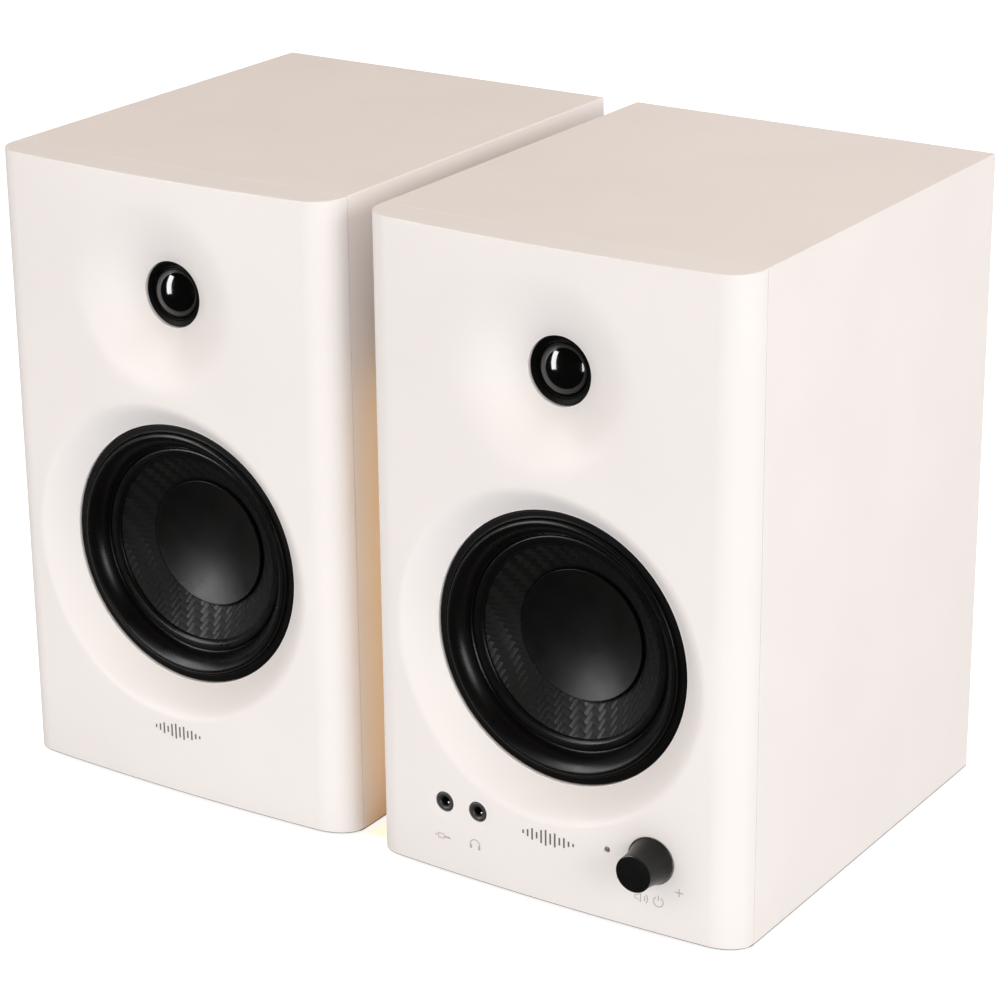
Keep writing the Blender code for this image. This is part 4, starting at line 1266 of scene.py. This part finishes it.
def add_power_switch(speaker):
    """The frame, and a rocker with a hollowed face and its on and off marks."""
    node = "power_switch_frame"
    middle = speaker.centre(node)
    place = speaker.on_axis(node)
    well = box_about(5.6, 8.9, 0.5)
    bezel = Shape().plate(box_about(9.0, 12.5, 1.2), BEZEL_OUT, BEZEL_IN, 0.45, holes=[well])
    inner = Shape().plate(box_about(7.5, 11.0, 0.6), WELL_OUT, 140.0, 0.2, blind=[(well, 150.0)])
    speaker.add("power_switch_bezel", bezel, "plastic", node, place=place)
    speaker.add("power_switch_well", inner, "plastic", place=place)
    low_y, rise, reach = 1.55, 1.35, 7.6

    def hollow(_, z):
        return low_y + rise * (z / reach) ** 2
    face = [(low_y + rise * t * t, reach * t) for t in [i / 8 - 1 for i in range(17)]]
    outline = [(-3.4, 6.0), (-3.4, -6.0)] + face
    rows = []
    for x, inset in ((-5.0, 0.25), (-4.75, 0.0), (4.75, 0.0), (5.0, 0.25)):
        row = [(x, y - math.copysign(inset, y), z * (1 - inset / 8)) for y, z in outline]
        rows.append(row)
    rocker = Shape().rows(rows)
    rocker.face(rows[0])
    rocker.face(rows[-1])
    pivot = speaker.at(middle.x, 157.5, middle.z)
    moving = {"place": pivot, "body": "power_rocker", "turn": ROCKER_TURN}
    speaker.add("power_rocker_cap", rocker, "gloss", "power_rocker", **moving)
    marks = Shape()
    marks.stroke([(0, 3.4), (0, 5.8)], 0.5, hollow, 1)
    marks.stroke(arc_points(0, -4.6, 1.3, 0, 345, 23), 0.45, hollow, 1, True)
    speaker.add("power_rocker_marks", marks, "rear_print", even=False, **moving)


def add_mains_inlet(speaker):
    """A two-pin inlet with a recess of two joined rounds and plated pins."""
    node = "mains_inlet"
    place = speaker.on_axis(node)
    recess = around_middle(two_arcs(-3.0, 3.0, 0, 4.25, 12))
    bezel = Shape().plate(box_about(14.0, 10.0, 1.5), BEZEL_OUT, BEZEL_IN, 0.45, holes=[recess])
    inner = Shape().plate(box_about(12.5, 8.5, 0.6), WELL_OUT, 138.0, 0.2, blind=[(recess, 144.0)])
    speaker.add("mains_inlet_bezel", bezel, "plastic", node, place=place)
    speaker.add("mains_inlet_well", inner, "plastic", place=place)
    pins = Shape()
    profile = rounded([(0, 142.0), (1.2, 142.0), (1.2, 156.0, 0.8), (0, 156.0)])
    for x in (-4.3, 4.3):
        pins.turned(profile, 24, x=x)
    speaker.add("mains_inlet_pins", pins, "brass", place=place)


# Frame nodes that stay

def dress_nodes(speaker):
    """Looks for the CAD nodes whose shape is right: the rear panel and what is inside."""
    side = speaker.side
    dressed = {
        f"{side}_rear_panel": "cabinet",
        f"{side}_woofer_spider": "spider",
        f"{side}_woofer_basket": "basket",
        f"{side}_woofer_magnet": "magnet",
        f"{side}_woofer_voice_coil": "copper",
    }
    if side == "active":
        dressed.update({
            "volume_shaft": "steel", "encoder_plunger": "steel", "volume_encoder": "plastic",
            "control_board": "board", "amplifier_board": "board", "transformer": "core",
        })
    else:
        dressed["crossover_board"] = "board"
    for name, key in dressed.items():
        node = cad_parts[name]
        node.data.materials.clear()
        node.data.materials.append(LOOKS[key])
        weld = node.modifiers.new("weld", "WELD")
        weld.merge_threshold = 1e-5
        bevel = node.modifiers.new("bevel", "BEVEL")
        bevel.width = 0.0004
        bevel.segments = 2
        bevel.limit_method = "ANGLE"
        bevel.angle_limit = math.radians(40)


# Stage

def add_camera(speaker):
    """The photograph's view: 33.5 degrees to the right of the front and 20.8 above it."""
    azimuth, elevation, roll = (math.radians(value) for value in (33.5, 20.83, -0.54))
    level = math.cos(elevation)
    back = Vector((math.sin(azimuth) * level, -math.cos(azimuth) * level, math.sin(elevation)))
    level_right = Vector((0, 0, 1)).cross(back).normalized()
    level_up = back.cross(level_right)
    right = level_right * math.cos(roll) + level_up * math.sin(roll)
    up = level_up * math.cos(roll) - level_right * math.sin(roll)
    data = bpy.data.cameras.new("camera")
    data.lens = 113.99
    data.sensor_width = 36.0
    data.clip_start = 0.05
    data.clip_end = 60.0
    camera = add_object("camera", data)
    turn = Matrix((right, up, back)).transposed().to_4x4()
    camera.matrix_world = Matrix.Translation(speaker.at(499.34, -792.69, 495.97)) @ turn
    bpy.context.scene.camera = camera


def add_softbox(name, place, target, width, height, radiance, color=(1.0, 1.0, 1.0), lean=0.0):
    """A rectangular light that faces its target. Radiance is what a view of it would show."""
    data = bpy.data.lights.new(name, "AREA")
    data.shape = "RECTANGLE"
    data.size, data.size_y = width, height
    data.energy = radiance * math.pi * width * height
    data.color = color
    light = add_object(name, data)
    light.location = place
    facing = (Vector(target) - Vector(place)).to_track_quat("-Z", "Y")
    light.rotation_euler = (facing @ Quaternion((0, 0, 1), math.radians(lean))).to_euler()
    light.visible_camera = False
    return light


def add_lights(active):
    """Windows only seen in reflections, fills never seen there, a rear light, the gap's glow."""
    eye = active.at(0, 0, active.tweeter_z)
    for name, offset, width, height, radiance, lean in (
        ("left_window", (-0.86, -0.93, 0.31), 0.40, 1.12, 21.0, 16),
        ("right_window", (1.29, -0.74, 0.11), 0.34, 0.64, 22.0, 0),
    ):
        window = add_softbox(name, eye + Vector(offset), eye, width, height, radiance, lean=lean)
        window.visible_diffuse = False
    front = Vector((0.0, active.origin.y - 0.17, -0.004))
    for name, place, target, width, height, radiance in (
        ("left_fill", eye + Vector((-0.93, -1.39, 0.80)), eye, 1.4, 1.4, 0.92),
        ("right_fill", eye + Vector((1.81, -0.60, 0.60)), eye, 1.0, 1.06, 5.1),
        ("floor_fill", front, front + Vector((0, 0, 1)), 0.9, 0.28, 0.25),
    ):
        fill = add_softbox(name, place, target, width, height, radiance)
        fill.visible_glossy = False
    add_softbox("rear_fill", eye + Vector((-0.25, 1.75, 0.02)), eye, 1.5, 0.9, 1.3)
    low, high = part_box("active_cabinet")
    middle = Vector((low.x - 0.0006, (low.y + high.y) / 2, (low.z + high.z) / 2 - 0.03))
    orange = (1.0, 0.50, 0.02)
    add_softbox("gap_glow", middle, middle - Vector((1, 0, 0)), 0.15, 0.16, 0.28, orange)


def add_world():
    """Warm light from overhead and neutral light from elsewhere.

    Reflections see it dark and the camera sees it white.
    """
    world = bpy.data.worlds.new("studio")
    bpy.context.scene.world = world
    world.use_nodes = True
    nodes = Nodes(world.node_tree)
    background = nodes.tree.nodes["Background"]
    place = nodes.node("TexCoord")
    split = nodes.node("SeparateXYZ", Vector=place.outputs["Generated"])
    ramp = nodes.node("ValToRGB")
    path = nodes.node("LightPath")
    strength = nodes.span(path.outputs["Is Glossy Ray"], 1.0, 0.03, 0, 1)
    height = nodes.span(split.outputs["Z"], 0, 1, -1, 1)
    nodes.put(height, ramp.inputs["Fac"])
    seen = nodes.mix(path.outputs["Is Camera Ray"], ramp.outputs["Color"], (1.0, 1.0, 1.0))
    nodes.put(seen, background.inputs["Color"])
    nodes.put(strength, background.inputs["Strength"])
    stops = ramp.color_ramp.elements
    stops[0].position, stops[0].color = 0.45, (0.70, 0.693, 0.692, 1)
    stops[1].position, stops[1].color = 0.62, (0.765, 0.676, 0.61, 1)


def add_sheet(name, look, low, high, z):
    """A flat stage piece that doesn't show in reflections."""
    look.rough(0.9)
    mesh = bpy.data.meshes.new(name)
    (left, front), (right, back) = low, high
    corners = [(left, front, z), (right, front, z), (right, back, z), (left, back, z)]
    mesh.from_pydata(corners, [], [(0, 1, 2, 3)])
    mesh.materials.append(look.material)
    sheet = add_object(name, mesh)
    sheet.visible_glossy = False
    return sheet


def add_floor():
    """A glowing white floor, which only the camera sees."""
    reach = 9.0
    look = Look("floor_white", "cabinet_white")
    look.color(look.mix(look.noise(400, 2), (0.87, 0.87, 0.87), (0.89, 0.89, 0.89)))
    look.shader.inputs["Emission Color"].default_value = (1.0, 1.0, 1.0, 1)
    look.shader.inputs["Emission Strength"].default_value = 0.72
    floor = add_sheet("studio_floor", look, (-reach, -reach), (reach, reach), 0)
    floor.visible_diffuse = False
    floor.visible_shadow = False


def add_gap_card():
    """An unseen warm card on the floor of the gap, which keeps white light from below out of it."""
    left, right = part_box("passive_cabinet")[1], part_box("active_cabinet")[0]
    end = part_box("active_cabinet")[1]
    look = Look("card_orange", "cabinet_white")
    look.color(look.mix(look.noise(20, 2), (0.75, 0.36, 0.02), (0.85, 0.42, 0.03)))
    card = add_sheet("gap_card", look, (left.x, right.y), (right.x, end.y), 0.001)
    card.visible_camera = False


def add_common(speaker):
    add_cabinet(speaker)
    front = add_baffle(speaker)
    add_marks(speaker, front)
    add_feet(speaker)
    add_surround(speaker)
    add_cone(speaker)
    add_tweeter(speaker)
    add_port(speaker)
    dress_nodes(speaker)
    return front


def add_active_controls(speaker, front):
    for node in ("aux_jack", "headphone_jack"):
        add_front_jack(speaker, front, node)
    add_status_light(speaker, front)
    add_volume_knob(speaker)
    add_rear_plate(speaker)
    for node in ("line_in_right", "line_in_left"):
        add_line_socket(speaker, node)
    add_rca(speaker)
    for node in ("treble_knob", "bass_knob"):
        add_trim_knob(speaker, node)
    add_power_switch(speaker)
    add_mains_inlet(speaker)
    add_terminal(speaker, "output_terminal", "active", False)


def build():
    active, passive = Speaker("active"), Speaker("passive")
    add_camera(active)
    add_world()
    add_floor()
    add_gap_card()
    add_lights(active)
    front = add_common(active)
    add_active_controls(active, front)
    add_common(passive)
    add_terminal(passive, "passive_terminal", "passive", True)
    bpy.context.scene.view_settings.view_transform = "Standard"


build()
